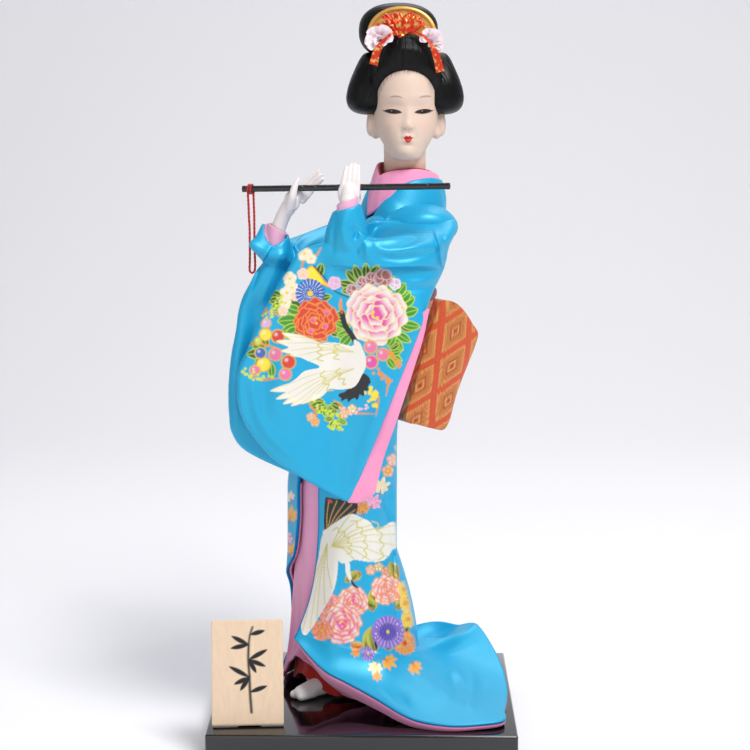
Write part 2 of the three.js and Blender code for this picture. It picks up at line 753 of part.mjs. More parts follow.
function leftHand() {
  const grip = fluteAt(leftArm.wrist[0] + 1);
  const front = grip.y - fluteRadius - clearance - fingerRadius;
  const [wristX, , wristZ] = leftArm.wrist;
  const palm = [wristX + 0.6, front - 0.4, wristZ + 3.6];
  const tips = [5.2, 8.6, 9.6, 8];
  const fingers = tips.map((rise, i) => {
    const x = wristX - 2.6 + 2.1 * i;
    return finger([x, front - 0.3, grip.z - 5], [x + 0.7, front + 0.4, grip.z + rise], 0.7);
  });
  const thumbBack = grip.y + fluteRadius + clearance + fingerRadius;
  const thumb = [
    finger([wristX + 3, front + 1, wristZ + 1], [wristX + 4.6, thumbBack, grip.z - 4], 1),
    finger([wristX + 4.6, thumbBack, grip.z - 4], [wristX + 4, thumbBack, grip.z + 2.4], 0.8),
  ];
  const whole = join([forearm(leftArm, 0), egg(palm, [4.4, 2, 5], 0, 8, 6), ...fingers, ...thumb]);
  return cut(whole, [flute(clearance)]);
}

function rightHand() {
  const grip = fluteAt(rightArm.wrist[0] + 4);
  const behind = grip.y + fluteRadius + clearance + fingerRadius;
  const front = grip.y - fluteRadius - clearance - fingerRadius;
  const [wristX, wristY, wristZ] = rightArm.wrist;
  const palm = [wristX + 2.4, (wristY + behind) / 2, wristZ + 3.6];
  const fingers = [0, 1, 2, 3].map((i) => finger(
    [wristX + 2 + 1.2 * i, behind, wristZ + 7 - 1.1 * i],
    [wristX + 12.4 + 1.4 * i, behind - 2.6, grip.z + 4.4 - 2.3 * i], 0.7,
  ));
  const thumb = [
    finger([wristX + 1, wristY - 1.6, wristZ + 2], [wristX + 2.6, front, grip.z - 3], 1),
    finger([wristX + 2.6, front, grip.z - 3], [wristX + 4.4, front, grip.z + 5.6], 0.75),
  ];
  const whole = join([forearm(rightArm, 0), egg(palm, [3.8, 2.6, 5], 0, 8, 6), ...fingers, ...thumb]);
  return cut(whole, [flute(clearance)]);
}

// Arm wire: from inside the body, round the elbow and into the forearm
function armWire(arm, radius) {
  const [shoulder, elbow, end] = [arm.shoulder, arm.elbow, arm.end].map(vector);
  const inside = new THREE.Vector3(axisX(shoulder.z), standY, shoulder.z).lerp(shoulder, 0.3);
  const tip = end.clone().lerp(vector(arm.wrist), 0.5);
  return wire([inside, shoulder, elbow, end, tip], radius, armWireStep, 6);
}

// Cuff: short tube of the under sleeve round the wrist
function cuff(arm, radius, grow, wall) {
  const along = vector(arm.wrist).sub(vector(arm.end)).normalize();
  const top = vector(arm.wrist).addScaledVector(along, grow);
  const bottom = vector(arm.wrist).addScaledVector(along, -cuffLength - grow);
  const outer = rod(bottom, top, radius + grow, 14);
  if (!wall) return outer;
  const past = along.clone().multiplyScalar(clearance);
  return cut(outer, [rod(bottom.clone().sub(past), top.clone().add(past), radius - wall, 14)]);
}

// Point on a hanging panel: across from the hand to the body, down from the arm to the hem
function panelPoint([handTop, bodyTop, bodyHem, handHem], across, down, round) {
  const top = vector(handTop).lerp(vector(bodyTop), across);
  const hem = vector(handHem).lerp(vector(bodyHem), across);
  const point = top.lerp(hem, down);
  const fold = Math.sin(Math.PI * across) + 0.6 * down * Math.sin(3 * Math.PI * across);
  point.y -= panelFold * fold;
  const low = Math.max(0, (down - 1 + round) / round);
  const bite = round * (1 - Math.sqrt(1 - Math.min(low, 1) ** 2));
  return { point, bite };
}

// Hanging panel of a sleeve, its hand side hem corner rounded
function panel(corners, round, shift, thickness, handSide, bodySide) {
  const columns = 9;
  const rows = 9;
  const grid = (side) => Array.from({ length: columns }, (_, c) => Array.from({ length: rows }, (_, r) => {
    const down = Math.sin((Math.PI / 2) * (r / (rows - 1)));
    const { bite } = panelPoint(corners, 0, down, round);
    const across = lerp(bite + handSide, 1 + bodySide * down, c / (columns - 1));
    const edge = Math.min(1, 4 * Math.min(c, columns - 1 - c) / (columns - 1) + 0.35);
    const { point } = panelPoint(corners, across, down, round);
    point.y += shift + side * (thickness / 2) * edge;
    return point;
  }));
  return sheet(grid(-1), grid(1), false);
}

// Part of a sleeve from the elbow to the cuff
function lowerSleeve(arm, cuffRadius, grow) {
  const mouth = vector(arm.end).lerp(vector(arm.wrist), sleeveMouth).toArray();
  return capsule(arm.elbow, mouth, elbowSleeve + grow, cuffRadius + satin + grow, 10);
}

function sleeve(arm, corners, round, cuffRadius) {
  const whole = join([
    capsule(arm.shoulder, arm.elbow, upperSleeve, elbowSleeve, 10),
    lowerSleeve(arm, cuffRadius, 0),
    panel(corners, round, 0, panelThickness, 0, 0),
  ]);
  const mouth = vector(arm.wrist);
  const along = mouth.clone().sub(vector(arm.end)).normalize();
  const rim = mouth.clone().addScaledVector(along, -cuffLength / 3);
  const far = mouth.clone().addScaledVector(along, 4 * cuffRadius);
  return cut(whole, [
    rod(rim, far, 3 * cuffRadius, 8), cuff(arm, cuffRadius, clearance, 0), forearm(arm, clearance),
    armWire(arm, wireRadius + clearance), bodiceRoom(), obiRoom(), collarRoom(),
  ]);
}

// Pink rear panel of a sleeve, which shows past the satin on the body's side
function sleeveLining(arm, corners, round, cuffRadius, show) {
  const width = vector(corners[0]).distanceTo(vector(corners[1]));
  const shift = panelThickness / 2 + clearance + liningCloth / 2 + panelFold * 0.3;
  return cut(panel(corners, round, shift, liningCloth, liningInset / width, show / width), [
    lowerSleeve(arm, cuffRadius, clearance), cuff(arm, cuffRadius, clearance, 0), forearm(arm, clearance),
    bodiceRoom(),
  ]);
}

// Drum bow: its outline swept from side to side across the back
function bow() {
  const corners = bowOutline.map(([back, height]) => new THREE.Vector3(back, height, 0));
  const outline = new THREE.CatmullRomCurve3(corners, true, 'catmullrom', 0.35);
  const count = 20;
  const stations = [-1, -0.88, 0, 0.88, 1];
  const middle = new THREE.Vector3();
  corners.forEach((corner) => middle.addScaledVector(corner, 1 / corners.length));
  const rings = stations.map((station) => Array.from({ length: count }, (_, i) => {
    const inset = Math.abs(station) === 1 ? bowEdge : 0;
    const crown = 1.6 * (1 - station * station);
    const place = outline.getPointAt(i / count);
    const out = place.clone().sub(middle).normalize();
    place.addScaledVector(out, crown - inset);
    const [backX, backY] = direction(180);
    const [leftX, leftY] = direction(90);
    const side = bowHalf * station;
    const x = axisX(place.y) + place.x * backX + side * leftX;
    const y = standY + place.x * backY + side * leftY;
    return new THREE.Vector3(x, y, place.y);
  }));
  return loft(rings);
}

// Foot in a split sock: a sole that narrows to the toe, and an ankle
function foot(side, toe) {
  const place = (forward, left, height) => {
    const [x, y] = direction(0);
    const [u, v] = direction(90);
    const across = side * footSpacing + left;
    return new THREE.Vector3(standX + forward * x + across * u, standY + forward * y + across * v, height);
  };
  const heel = toe - footLength;
  const rows = [
    [0, 0.55, 0.75], [0.1, 0.85, 1], [0.35, 0.8, 1], [0.6, 0.95, 0.8], [0.85, 0.9, 0.55], [0.97, 0.5, 0.4],
  ];
  const rings = rows.map(([share, half, rise]) => Array.from({ length: 12 }, (_, i) => {
    const angle = degrees(30 * i);
    const up = Math.max(0, 0.5 + 0.62 * Math.sin(angle));
    const forward = heel + footLength * share;
    return place(forward, footHalf * half * Math.cos(angle), clearance + footHeight * rise * up);
  }));
  const ankleFrom = place(heel + 0.24 * footLength, 0, footHeight * 0.5);
  const ankleTo = place(0, 0, coreBottom - clearance);
  const core = bodySolid([coreBottom - clearance, kneeHeight], clearance);
  return cut(loft(rings).add(rod(ankleFrom, ankleTo, ankleRadius, 10)), [core]);
}

// Base board with the post's socket, the screw's hole and its countersink
function baseBoard() {
  const shape = new THREE.Shape();
  const halfX = baseWidth / 2 - baseEdge;
  const halfY = baseDepth / 2 - baseEdge;
  shape.moveTo(-halfX, -halfY);
  shape.lineTo(halfX, -halfY);
  shape.lineTo(halfX, halfY);
  shape.lineTo(-halfX, halfY);
  shape.closePath();
  const geometry = new THREE.ExtrudeGeometry(shape, {
    depth: baseHeight - 2 * baseEdge, bevelThickness: baseEdge, bevelSize: baseEdge, bevelSegments: 1,
  });
  geometry.translate(0, 0, baseEdge);
  const at = (height) => new THREE.Vector3(standX, standY, height);
  const socket = rod(at(baseHeight - postSocketDepth), at(baseHeight + 1), postRadius + clearance);
  return cut(solid(geometry), [socket, screwShape(clearance, screwLength)]);
}

// Countersunk screw, its head flush with the underside
function screwShape(grow, length) {
  const head = screwHeadRadius + grow;
  const shank = screwRadius + grow;
  const bottom = grow ? -1 : clearance;
  const profile = [
    [0, bottom], [head, bottom], [head, 0.4 + grow], [shank, screwHeadHeight + grow],
    [shank, length + grow], [0, length + grow],
  ];
  const from = new THREE.Vector3(standX, standY, 0);
  return turned(from, from.clone().setZ(1), profile, 20);
}

// Post that stands in the base, with the screw's pilot hole
function supportPost() {
  const at = (height) => new THREE.Vector3(standX, standY, height);
  const low = -postSocketDepth + clearance;
  const pilot = rod(at(low - 1), at(screwLength + clearance - baseHeight), screwRadius + clearance);
  return cut(rod(at(low), at(postHeight), postRadius), [pilot]);
}

function bodyCore() {
  const at = (x, height) => new THREE.Vector3(x, standY, height);
  const dowelEnd = at(neckX, neckSeat - neckDowelDepth - clearance);
  return cut(bodySolid(heights(coreBottom, neckSeat - clearance, 13), 0), [
    rod(at(standX, 0), at(standX, postHeight + clearance), postRadius + clearance),
    rod(dowelEnd, at(neckX, neckSeat + 1), neckDowelRadius + clearance),
    armWire(leftArm, wireRadius + clearance), armWire(rightArm, wireRadius + clearance),
  ]);
}

function neckDowel() {
  const at = (height) => new THREE.Vector3(neckX, standY, height);
  return rod(at(neckSeat - neckDowelDepth), at(neckSeat + neckDowelRise), neckDowelRadius);
}

const ear = (side, grow) => egg(onHead([side * (headHalf + 0.6), -1.5, earRise]), earHalf, grow, 10, 6);

function neck(grow) {
  const at = (height) => new THREE.Vector3(neckX, standY, height);
  return rod(at(neckSeat), at(chinHeight + neckRadius), neckRadius + grow, 18);
}

function headPiece() {
  const at = (height) => new THREE.Vector3(neckX, standY, height);
  const nose = egg(onHead([0.3, -headFront + 0.4, noseRise]), noseHalf, 0, 10, 6);
  const whole = join([headSolid(0), neck(0), ear(1, 0), ear(-1, 0), nose]);
  const dowelTop = at(neckSeat + neckDowelRise + clearance);
  return cut(whole, [rod(at(neckSeat - 1), dowelTop, neckDowelRadius + pegClearance)]);
}

// Everything that is set into the hair, with room round it
function hairTools() {
  return [
    comb(clearance), foilBow(clearance), blossom(leftFlower, clearance), blossom(rightFlower, clearance),
    streamer(leftStreamer, clearance), streamer(rightStreamer, clearance),
  ];
}

function hairPieces() {
  const shapes = {
    hair_front: (grow) => egg(onHead(frontHair.at), frontHair.half, grow, 18, 9),
    hair_wing_left: (grow) => egg(onHead(wingHair.at), wingHair.half, grow, 14, 9),
    hair_wing_right: (grow) => egg(onHead(mirrored(wingHair.at)), wingHair.half, grow, 14, 9),
    hair_back: (grow) => egg(onHead(backHair.at), backHair.half, grow, 14, 9),
    hair_topknot: (grow) => egg(onHead(topknotHair.at), topknotHair.half, grow, 16, 8),
  };
  const ears = [1, -1].map((side) => ear(side, clearance));
  const tools = [headSolid(clearance), neck(clearance), ...ears, ...hairTools()];
  const made = {};
  for (const [name, shape] of Object.entries(shapes)) {
    made[name] = cut(shape(0), tools);
    tools.push(shape(clearance));
  }
  return made;
}

// Sign: a plate leaning back, with a wedge behind it, both cut flat on the base
function plaque() {
  const board = new THREE.BoxGeometry(plaqueWidth, plaqueThickness, plaqueHeight);
  board.translate(0, plaqueThickness / 2, plaqueHeight / 2);
  board.rotateX(degrees(-plaqueLean));
  const side = new THREE.Shape();
  const wedgeHeight = plaqueHeight * 0.4;
  const foot = wedgeHeight * 0.7;
  side.moveTo(plaqueThickness * 0.5, 0);
  side.lineTo(foot, 0);
  side.lineTo(plaqueThickness * 0.5 + wedgeHeight * Math.tan(degrees(plaqueLean)), wedgeHeight);
  side.closePath();
  const wedgeWidth = plaqueWidth * 0.3;
  const wedge = new THREE.ExtrudeGeometry(side, { depth: wedgeWidth, bevelEnabled: false });
  wedge.translate(0, 0, -wedgeWidth / 2);
  wedge.rotateX(Math.PI / 2);
  wedge.rotateZ(Math.PI / 2);
  const below = new THREE.BoxGeometry(2 * plaqueWidth, 2 * plaqueHeight, plaqueHeight);
  below.translate(0, 0, clearance - plaqueHeight / 2);
  const whole = cut(solid(board).add(solid(wedge)), [solid(below)]);
  const at = [plaqueFromSide - baseWidth / 2, plaqueFromFront - baseDepth / 2, 0];
  return whole.rotate([0, 0, plaqueTurn]).translate(at);
}

const finish = (color, roughness, metalness = 0) => (
  new THREE.MeshStandardMaterial({ color, roughness, metalness })
);
const lacquer = finish(0x0a0a0c, 0.12);
const wood = finish(0xd8b07c, 0.6);
const steel = finish(0x9a9a9e, 0.35, 1);
const stuffing = finish(0xd9cfbd, 0.9);
const whiteSkin = finish(0xf3ece6, 0.45);
const faceSkin = finish(0xe9d3bf, 0.45);
const hair = finish(0x0b0a0a, 0.35);
const gold = finish(0xe0aa5a, 0.3, 1);
const redFoil = finish(0xb3261c, 0.3, 0.6);
const petals = finish(0xf3dfe2, 0.8);
const turquoise = finish(0x1eaadc, 0.4);
const pink = finish(0xfa9bc8, 0.6);
const red = finish(0xaa1400, 0.7);
const brocade = finish(0xdc5a28, 0.5);
const darkRed = finish(0x7a1420, 0.7);
const darkWood = finish(0x17100c, 0.35);
const sock = finish(0xf2eee6, 0.8);

const model = new THREE.Group();
const doll = new THREE.Group();
doll.position.z = baseHeight;
model.add(doll);

function place(name, piece, material, group = doll) {
  const { vertProperties, triVerts } = piece.getMesh();
  const geometry = new THREE.BufferGeometry();
  geometry.setAttribute('position', new THREE.BufferAttribute(vertProperties, 3));
  geometry.setIndex(new THREE.BufferAttribute(triVerts, 1));
  geometry.computeVertexNormals();
  const mesh = new THREE.Mesh(geometry, material);
  mesh.name = name;
  group.add(mesh);
}

place('base_board', baseBoard(), lacquer, model);
place('base_screw', screwShape(0, screwLength), steel, model);
place('support_post', supportPost(), wood);
place('body_core', bodyCore(), stuffing);
place('neck_dowel', neckDowel(), wood);
place('name_plaque', plaque(), wood);
place('foot_left', foot(1, leftToe), sock);
place('foot_right', foot(-1, rightToe), sock);

place('head', headPiece(), faceSkin);
for (const [name, piece] of Object.entries(hairPieces())) place(name, piece, hair);
place('comb', comb(0), gold);
const foilRoom = [leftFlower, rightFlower].map((one) => blossom(one, clearance));
place('foil_bow', cut(foilBow(0), foilRoom), redFoil);
place('flower_left', cut(blossom(leftFlower, 0), [comb(clearance)]), petals);
place('flower_right', cut(blossom(rightFlower, 0), [comb(clearance)]), petals);
place('streamer_left', cut(streamer(leftStreamer, 0), [blossom(leftFlower, clearance)]), redFoil);
place('streamer_right', cut(streamer(rightStreamer, 0), [blossom(rightFlower, clearance)]), redFoil);

place('kimono_bodice', cut(bodySleeve(bodiceHeights, bodiceEase, satin), [
  armWire(leftArm, wireRadius + clearance), armWire(rightArm, wireRadius + clearance),
]), turquoise);
place('collar_trim', cut(collarTrim(), [bodiceRoom()]), red);
place('under_collar', cut(underCollar(), [bodiceRoom()]), pink);
place('kimono_collar', cut(kimonoCollar(), [bodiceRoom()]), turquoise);
place('obi_band', bodySleeve(obiHeights, obiEase, obiCloth), brocade);
place('obi_scarf', bodySleeve(scarfHeights, obiEase, scarfCloth), darkRed);
place('obi_bow', cut(bow(), [obiRoom(), bodiceRoom(), skirtRoom()]), brocade);

place('kimono_skirt', skirtSheet(skirtPlaces, 0, satin, 0), turquoise);
place('skirt_lining', skirtSheet(liningPlaces, satin + liningGap, liningCloth, liningShow), pink);
place('under_skirt', innerSkirt(underSkirt, liningCloth, 7), pink);
place('red_skirt', innerSkirt(redSkirt, liningCloth, 5), red);

const leftSleeve = [leftArm, leftPanel, leftHemRound, leftCuffRadius];
const rightSleeve = [rightArm, rightPanel, rightHemRound, rightCuffRadius];
place('sleeve_left', sleeve(...leftSleeve), turquoise);
place('sleeve_right', sleeve(...rightSleeve), turquoise);
place('sleeve_lining_left', sleeveLining(...leftSleeve, leftLiningShow), pink);
place('sleeve_lining_right', sleeveLining(...rightSleeve, rightLiningShow), pink);
place('cuff_left', cuff(leftArm, leftCuffRadius, 0, cuffWall), pink);
place('cuff_right', cuff(rightArm, rightCuffRadius, 0, cuffWall), pink);
place('arm_wire_left', armWire(leftArm, wireRadius), steel);
place('arm_wire_right', armWire(rightArm, wireRadius), steel);
place('hand_left', cut(leftHand(), [armWire(leftArm, wireRadius + clearance)]), whiteSkin);
place('hand_right', cut(rightHand(), [armWire(rightArm, wireRadius + clearance)]), whiteSkin);

place('flute', flute(0), darkWood);
place('flute_knot', fluteKnot(), red);
place('flute_cord', cordLoop(), red);

export default model;
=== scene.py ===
import math
import bmesh
import bpy
import numpy as np
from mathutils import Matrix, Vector


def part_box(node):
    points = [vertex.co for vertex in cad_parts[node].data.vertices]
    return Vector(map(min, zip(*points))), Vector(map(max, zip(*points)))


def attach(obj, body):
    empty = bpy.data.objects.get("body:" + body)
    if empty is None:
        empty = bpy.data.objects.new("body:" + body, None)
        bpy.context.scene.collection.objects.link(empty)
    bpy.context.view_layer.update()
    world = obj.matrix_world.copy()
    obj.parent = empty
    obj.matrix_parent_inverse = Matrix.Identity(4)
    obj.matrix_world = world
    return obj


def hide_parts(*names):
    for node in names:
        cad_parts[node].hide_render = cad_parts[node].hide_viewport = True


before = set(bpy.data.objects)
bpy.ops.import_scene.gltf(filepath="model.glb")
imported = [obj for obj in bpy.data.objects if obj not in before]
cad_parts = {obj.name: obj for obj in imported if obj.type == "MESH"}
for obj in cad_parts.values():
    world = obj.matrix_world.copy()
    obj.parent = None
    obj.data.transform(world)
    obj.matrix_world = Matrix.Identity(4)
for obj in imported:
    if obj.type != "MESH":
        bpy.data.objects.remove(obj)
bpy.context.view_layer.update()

mm = 0.001  # every length below is in millimetres, and meshes are scaled once when they are made
rng = np.random.default_rng(7)


def nodeBox(node):
    return np.array([list(corner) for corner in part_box(node)]) / mm


deck = nodeBox("base_board")[1][2]
stand = nodeBox("support_post").mean(axis=0)[:2]
neck = nodeBox("neck_dowel").mean(axis=0)[:2]
chin = nodeBox("head")[0][2] + 16.3
heading = 55  # the body faces this far to the viewer's left
print("frame loaded, deck at", round(float(deck), 2))

# Camera at the photograph's place
camera = {"at": (0.0140, -0.8127, 0.2878), "down": 9.59, "left": 0.65, "lens": 95.52, "sensor": 36,
          "picture": 750}  # picture is the width of the frame that folds and prints are drawn in
lensData = bpy.data.cameras.new("camera")
lensData.lens = camera["lens"]
lensData.sensor_width = camera["sensor"]
cameraObject = bpy.data.objects.new("camera", lensData)
cameraObject.location = camera["at"]
cameraObject.rotation_euler = (math.radians(90 - camera["down"]), 0, math.radians(camera["left"]))
bpy.context.collection.objects.link(cameraObject)
bpy.context.scene.camera = cameraObject
viewerWay = np.array((0, -1, 0.15))  # from the doll to the camera, roughly


# Small maths

def smooth(low, high, x):
    t = np.clip((np.asarray(x, float) - low) / (high - low), 0, 1)
    return t * t * (3 - 2 * t)


def mix(a, b, t):
    return a + (b - a) * t


def bump(x, middle, width):
    return np.exp(-((np.asarray(x, float) - middle) / width) ** 2)


def rows(table, x, column=1):
    # smooth value between the rows of a given table
    table = np.asarray(table, float)
    place = table[:, 0]
    value = table[:, column]
    slope = np.gradient(value, place)
    x = np.clip(x, place[0], place[-1])
    k = np.clip(np.searchsorted(place, x) - 1, 0, len(place) - 2)
    step = place[k + 1] - place[k]
    t = (x - place[k]) / step
    return (value[k] * (1 + 2 * t) * (1 - t) ** 2 + value[k + 1] * t * t * (3 - 2 * t)
            + slope[k] * step * t * (1 - t) ** 2 + slope[k + 1] * step * t * t * (t - 1))


def throughPoints(points, count, closed=False):
    # evenly spaced points on a smooth curve through a few given ones
    p = np.asarray(points, float)
    if closed:
        p = np.vstack([p[-1], p, p[:2]])
    else:
        p = np.vstack([2 * p[0] - p[1], p, 2 * p[-1] - p[-2]])
    t = np.linspace(0, 1, 24, endpoint=False)[:, None]
    parts = []
    for a, b, c, d in zip(p[:-3], p[1:-2], p[2:-1], p[3:]):
        parts.append(b + 0.5 * t * (c - a + t * (2 * a - 5 * b + 4 * c - d + t * (3 * (b - c) + d - a))))
    line = np.vstack(parts + [p[-2][None]])
    far = np.concatenate([[0], np.cumsum(np.linalg.norm(np.diff(line, axis=0), axis=1))])
    at = np.linspace(0, far[-1], count, endpoint=not closed)
    return np.stack([np.interp(at, far, line[:, k]) for k in range(line.shape[1])], axis=1)


def toward(angle):
    # unit direction at an angle from the body's front towards its left
    turn = np.radians(angle)
    face = math.radians(heading)
    return (-math.sin(face) * np.cos(turn) + math.cos(face) * np.sin(turn),
            -math.cos(face) * np.cos(turn) - math.sin(face) * np.sin(turn))


def waves(x, count, low, high, seed):
    # sum of sines with fixed random phases, between two frequencies
    own = np.random.default_rng(seed)
    total = np.zeros_like(np.asarray(x, float))
    for _ in range(count):
        total += np.sin(own.uniform(low, high) * x + own.uniform(0, 6.3)) * own.uniform(0.5, 1)
    return total / math.sqrt(count)


# Mesh making

def gridFaces(n, m, wrapN=False, wrapM=False):
    index = np.arange(n * m).reshape(n, m)
    i = np.arange(n if wrapN else n - 1)
    j = np.arange(m if wrapM else m - 1)
    a = index[i][:, j]
    b = index[(i + 1) % n][:, j]
    c = index[(i + 1) % n][:, (j + 1) % m]
    d = index[i][:, (j + 1) % m]
    return np.stack([a, b, c, d], axis=-1).reshape(-1, 4)


def gridNormals(grid, wrapN=False, wrapM=False):
    def along(axis, wrap):
        if wrap:
            return np.roll(grid, -1, axis) - np.roll(grid, 1, axis)
        return np.gradient(grid, axis=axis)
    normal = np.cross(along(0, wrapN), along(1, wrapM))
    return normal / np.maximum(np.linalg.norm(normal, axis=-1, keepdims=True), 1e-9)


def tubeShell(grid):
    # closed skin from rings, its two ends fanned to their middles
    n, m = grid.shape[:2]
    points = np.vstack([grid.reshape(-1, 3), grid[0].mean(0), grid[-1].mean(0)])
    faces = [list(f) for f in gridFaces(n, m, wrapM=True)]
    for j in range(m):
        faces.append([n * m, (j + 1) % m, j])
        faces.append([n * m + 1, (n - 1) * m + j, (n - 1) * m + (j + 1) % m])
    return points, faces


def sheetShell(front, back, wrapN=False):
    # closed cloth between two grids, with its rims
    n, m = front.shape[:2]
    points = np.vstack([front.reshape(-1, 3), back.reshape(-1, 3)])
    one = gridFaces(n, m, wrapN=wrapN)
    faces = [list(f) for f in one] + [list(f[::-1] + n * m) for f in one]
    index = np.arange(n * m).reshape(n, m)
    rims = [index[:, 0][::-1], index[:, -1]]
    if wrapN:
        rims = [np.append(r, r[0]) for r in rims]
    else:
        rims += [index[0], index[-1][::-1]]
    for rim in rims:
        for a, b in zip(rim[:-1], rim[1:]):
            faces.append([b, a, a + n * m, b + n * m])
    return points, faces


def joinShells(shells):
    points, faces, start = [], [], 0
    for p, f in shells:
        points.append(p)
        faces += [[k + start for k in face] for face in f]
        start += len(p)
    return np.vstack(points), faces


def sweep(path, radius, sides, shape=None):
    # tube along a path; shape(share, angle) scales its radius
    path = np.asarray(path, float)
    tangent = np.gradient(path, axis=0)
    tangent /= np.linalg.norm(tangent, axis=1, keepdims=True)
    side = np.cross(tangent[0], (0.31, 0.87, 0.38))
    angle = np.linspace(0, 2 * np.pi, sides, endpoint=False)
    radius = np.broadcast_to(radius, len(path))
    rings = []
    for k, t in enumerate(tangent):
        side = side - t * (side @ t)
        side /= np.linalg.norm(side)
        up = np.cross(t, side)
        scale = radius[k] * (shape(k / (len(path) - 1), angle) if shape else np.ones(sides))
        rings.append(path[k] + np.outer(np.cos(angle) * scale, side) + np.outer(np.sin(angle) * scale, up))
    return np.array(rings)


def eggShell(middle, half, across=40, down=24):
    turn = np.linspace(0, 2 * np.pi, across, endpoint=False)
    fall = np.linspace(0.02, np.pi - 0.02, down)
    unit = np.stack([np.outer(np.sin(fall), np.cos(turn)), np.outer(np.sin(fall), np.sin(turn)),
                     np.outer(np.cos(fall), np.ones(across))], axis=-1)
    return tubeShell(unit * np.array(half) + np.array(middle))


def rawMesh(name, points, faces):
    mesh = bpy.data.meshes.new(name)
    mesh.from_pydata([tuple(p) for p in points], [], [tuple(int(k) for k in f) for f in faces])
    mesh.update()
    work = bmesh.new()
    work.from_mesh(mesh)
    bmesh.ops.recalc_face_normals(work, faces=work.faces)
    work.to_mesh(mesh)
    work.free()
    return mesh


def remeshed(points, faces, voxel, relaxSteps=4):
    # one skin round joined shapes
    mesh = rawMesh("rough", points, faces)
    rough = bpy.data.objects.new("rough", mesh)
    bpy.context.collection.objects.link(rough)
    skin = rough.modifiers.new("skin", "REMESH")
    skin.mode = "VOXEL"
    skin.voxel_size = voxel
    done = rough.evaluated_get(bpy.context.evaluated_depsgraph_get()).to_mesh()
    newPoints = np.empty(len(done.vertices) * 3)
    done.vertices.foreach_get("co", newPoints)
    newFaces = np.array([list(p.vertices) for p in done.polygons])
    bpy.data.objects.remove(rough)
    bpy.data.meshes.remove(mesh)
    return relaxed(newPoints.reshape(-1, 3), newFaces, relaxSteps), newFaces


def faceEdges(faces):
    quads = np.asarray(faces)
    pairs = np.vstack([quads[:, [k, (k + 1) % quads.shape[1]]] for k in range(quads.shape[1])])
    return np.unique(np.sort(pairs, axis=1), axis=0)


def relaxed(points, faces, steps, share=0.5, weight=None):
    edges = faceEdges(faces)
    count = np.bincount(edges.ravel(), minlength=len(points))
    weight = 1 if weight is None else weight[:, None]
    for _ in range(steps):
        total = np.stack([np.bincount(edges[:, 0], points[edges[:, 1], k], len(points))
            + np.bincount(edges[:, 1], points[edges[:, 0], k], len(points)) for k in range(3)], 1)
        points = points + share * weight * (total / np.maximum(count, 1)[:, None] - points)
    return points


def pointNormals(points, faces):
    f = np.asarray(faces)
    normal = np.cross(points[f[:, 2]] - points[f[:, 0]], points[f[:, -1]] - points[f[:, 1]])
    total = np.zeros_like(points)
    for k in range(f.shape[1]):
        for axis in range(3):
            total[:, axis] += np.bincount(f[:, k], normal[:, axis], len(points))
    return total / np.maximum(np.linalg.norm(total, axis=1, keepdims=True), 1e-12)


def finer(points, faces, keep):
    # the faces that keep picks are split in four, once
    mesh = rawMesh("coarse", points, faces)
    work = bmesh.new()
    work.from_mesh(mesh)
    work.faces.ensure_lookup_table()
    middles = np.array([f.calc_center_median() for f in work.faces])
    picked = {e for f, k in zip(work.faces, keep(middles)) if k for e in f.edges}
    bmesh.ops.subdivide_edges(work, edges=list(picked), cuts=1, use_grid_fill=True)
    bmesh.ops.triangulate(work, faces=[f for f in work.faces if len(f.verts) > 4])
    newPoints = np.array([v.co for v in work.verts])
    newFaces = [[v.index for v in f.verts] for f in work.faces]
    work.free()
    bpy.data.meshes.remove(mesh)
    return newPoints, newFaces


def makePiece(name, shell, body, finish, node=None, paint=None, gold=None, sharp=None):
    points, faces = shell
    mesh = rawMesh(name, np.asarray(points) * mm, faces)
    if paint is not None:
        layer = mesh.color_attributes.new("paint", "FLOAT_COLOR", "POINT")
        layer.data.foreach_set("color", np.hstack([paint, np.ones((len(paint), 1))]).ravel())
    if gold is not None:
        mesh.attributes.new("gold", "FLOAT", "POINT").data.foreach_set("value", np.asarray(gold, float))
    mesh.shade_smooth()
    if sharp:
        mesh.set_sharp_from_angle(angle=math.radians(sharp))
    mesh.materials.append(finish)
    piece = bpy.data.objects.new(name, mesh)
    bpy.context.collection.objects.link(piece)
    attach(piece, body)
    if node:
        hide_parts(node)
    print("made", name, len(points), "points")
    return piece


# Finishes

def linear(*srgb):
    c = np.array(srgb, float) / 255
    return np.where(c <= 0.04045, c / 12.92, ((c + 0.055) / 1.055) ** 2.4)


def addNode(finish, kind, **settings):
    node = finish.node_tree.nodes.new(kind)
    for key, value in settings.items():
        if key in node.inputs:
            node.inputs[key].default_value = value
        else:
            setattr(node, key, value)
    return node


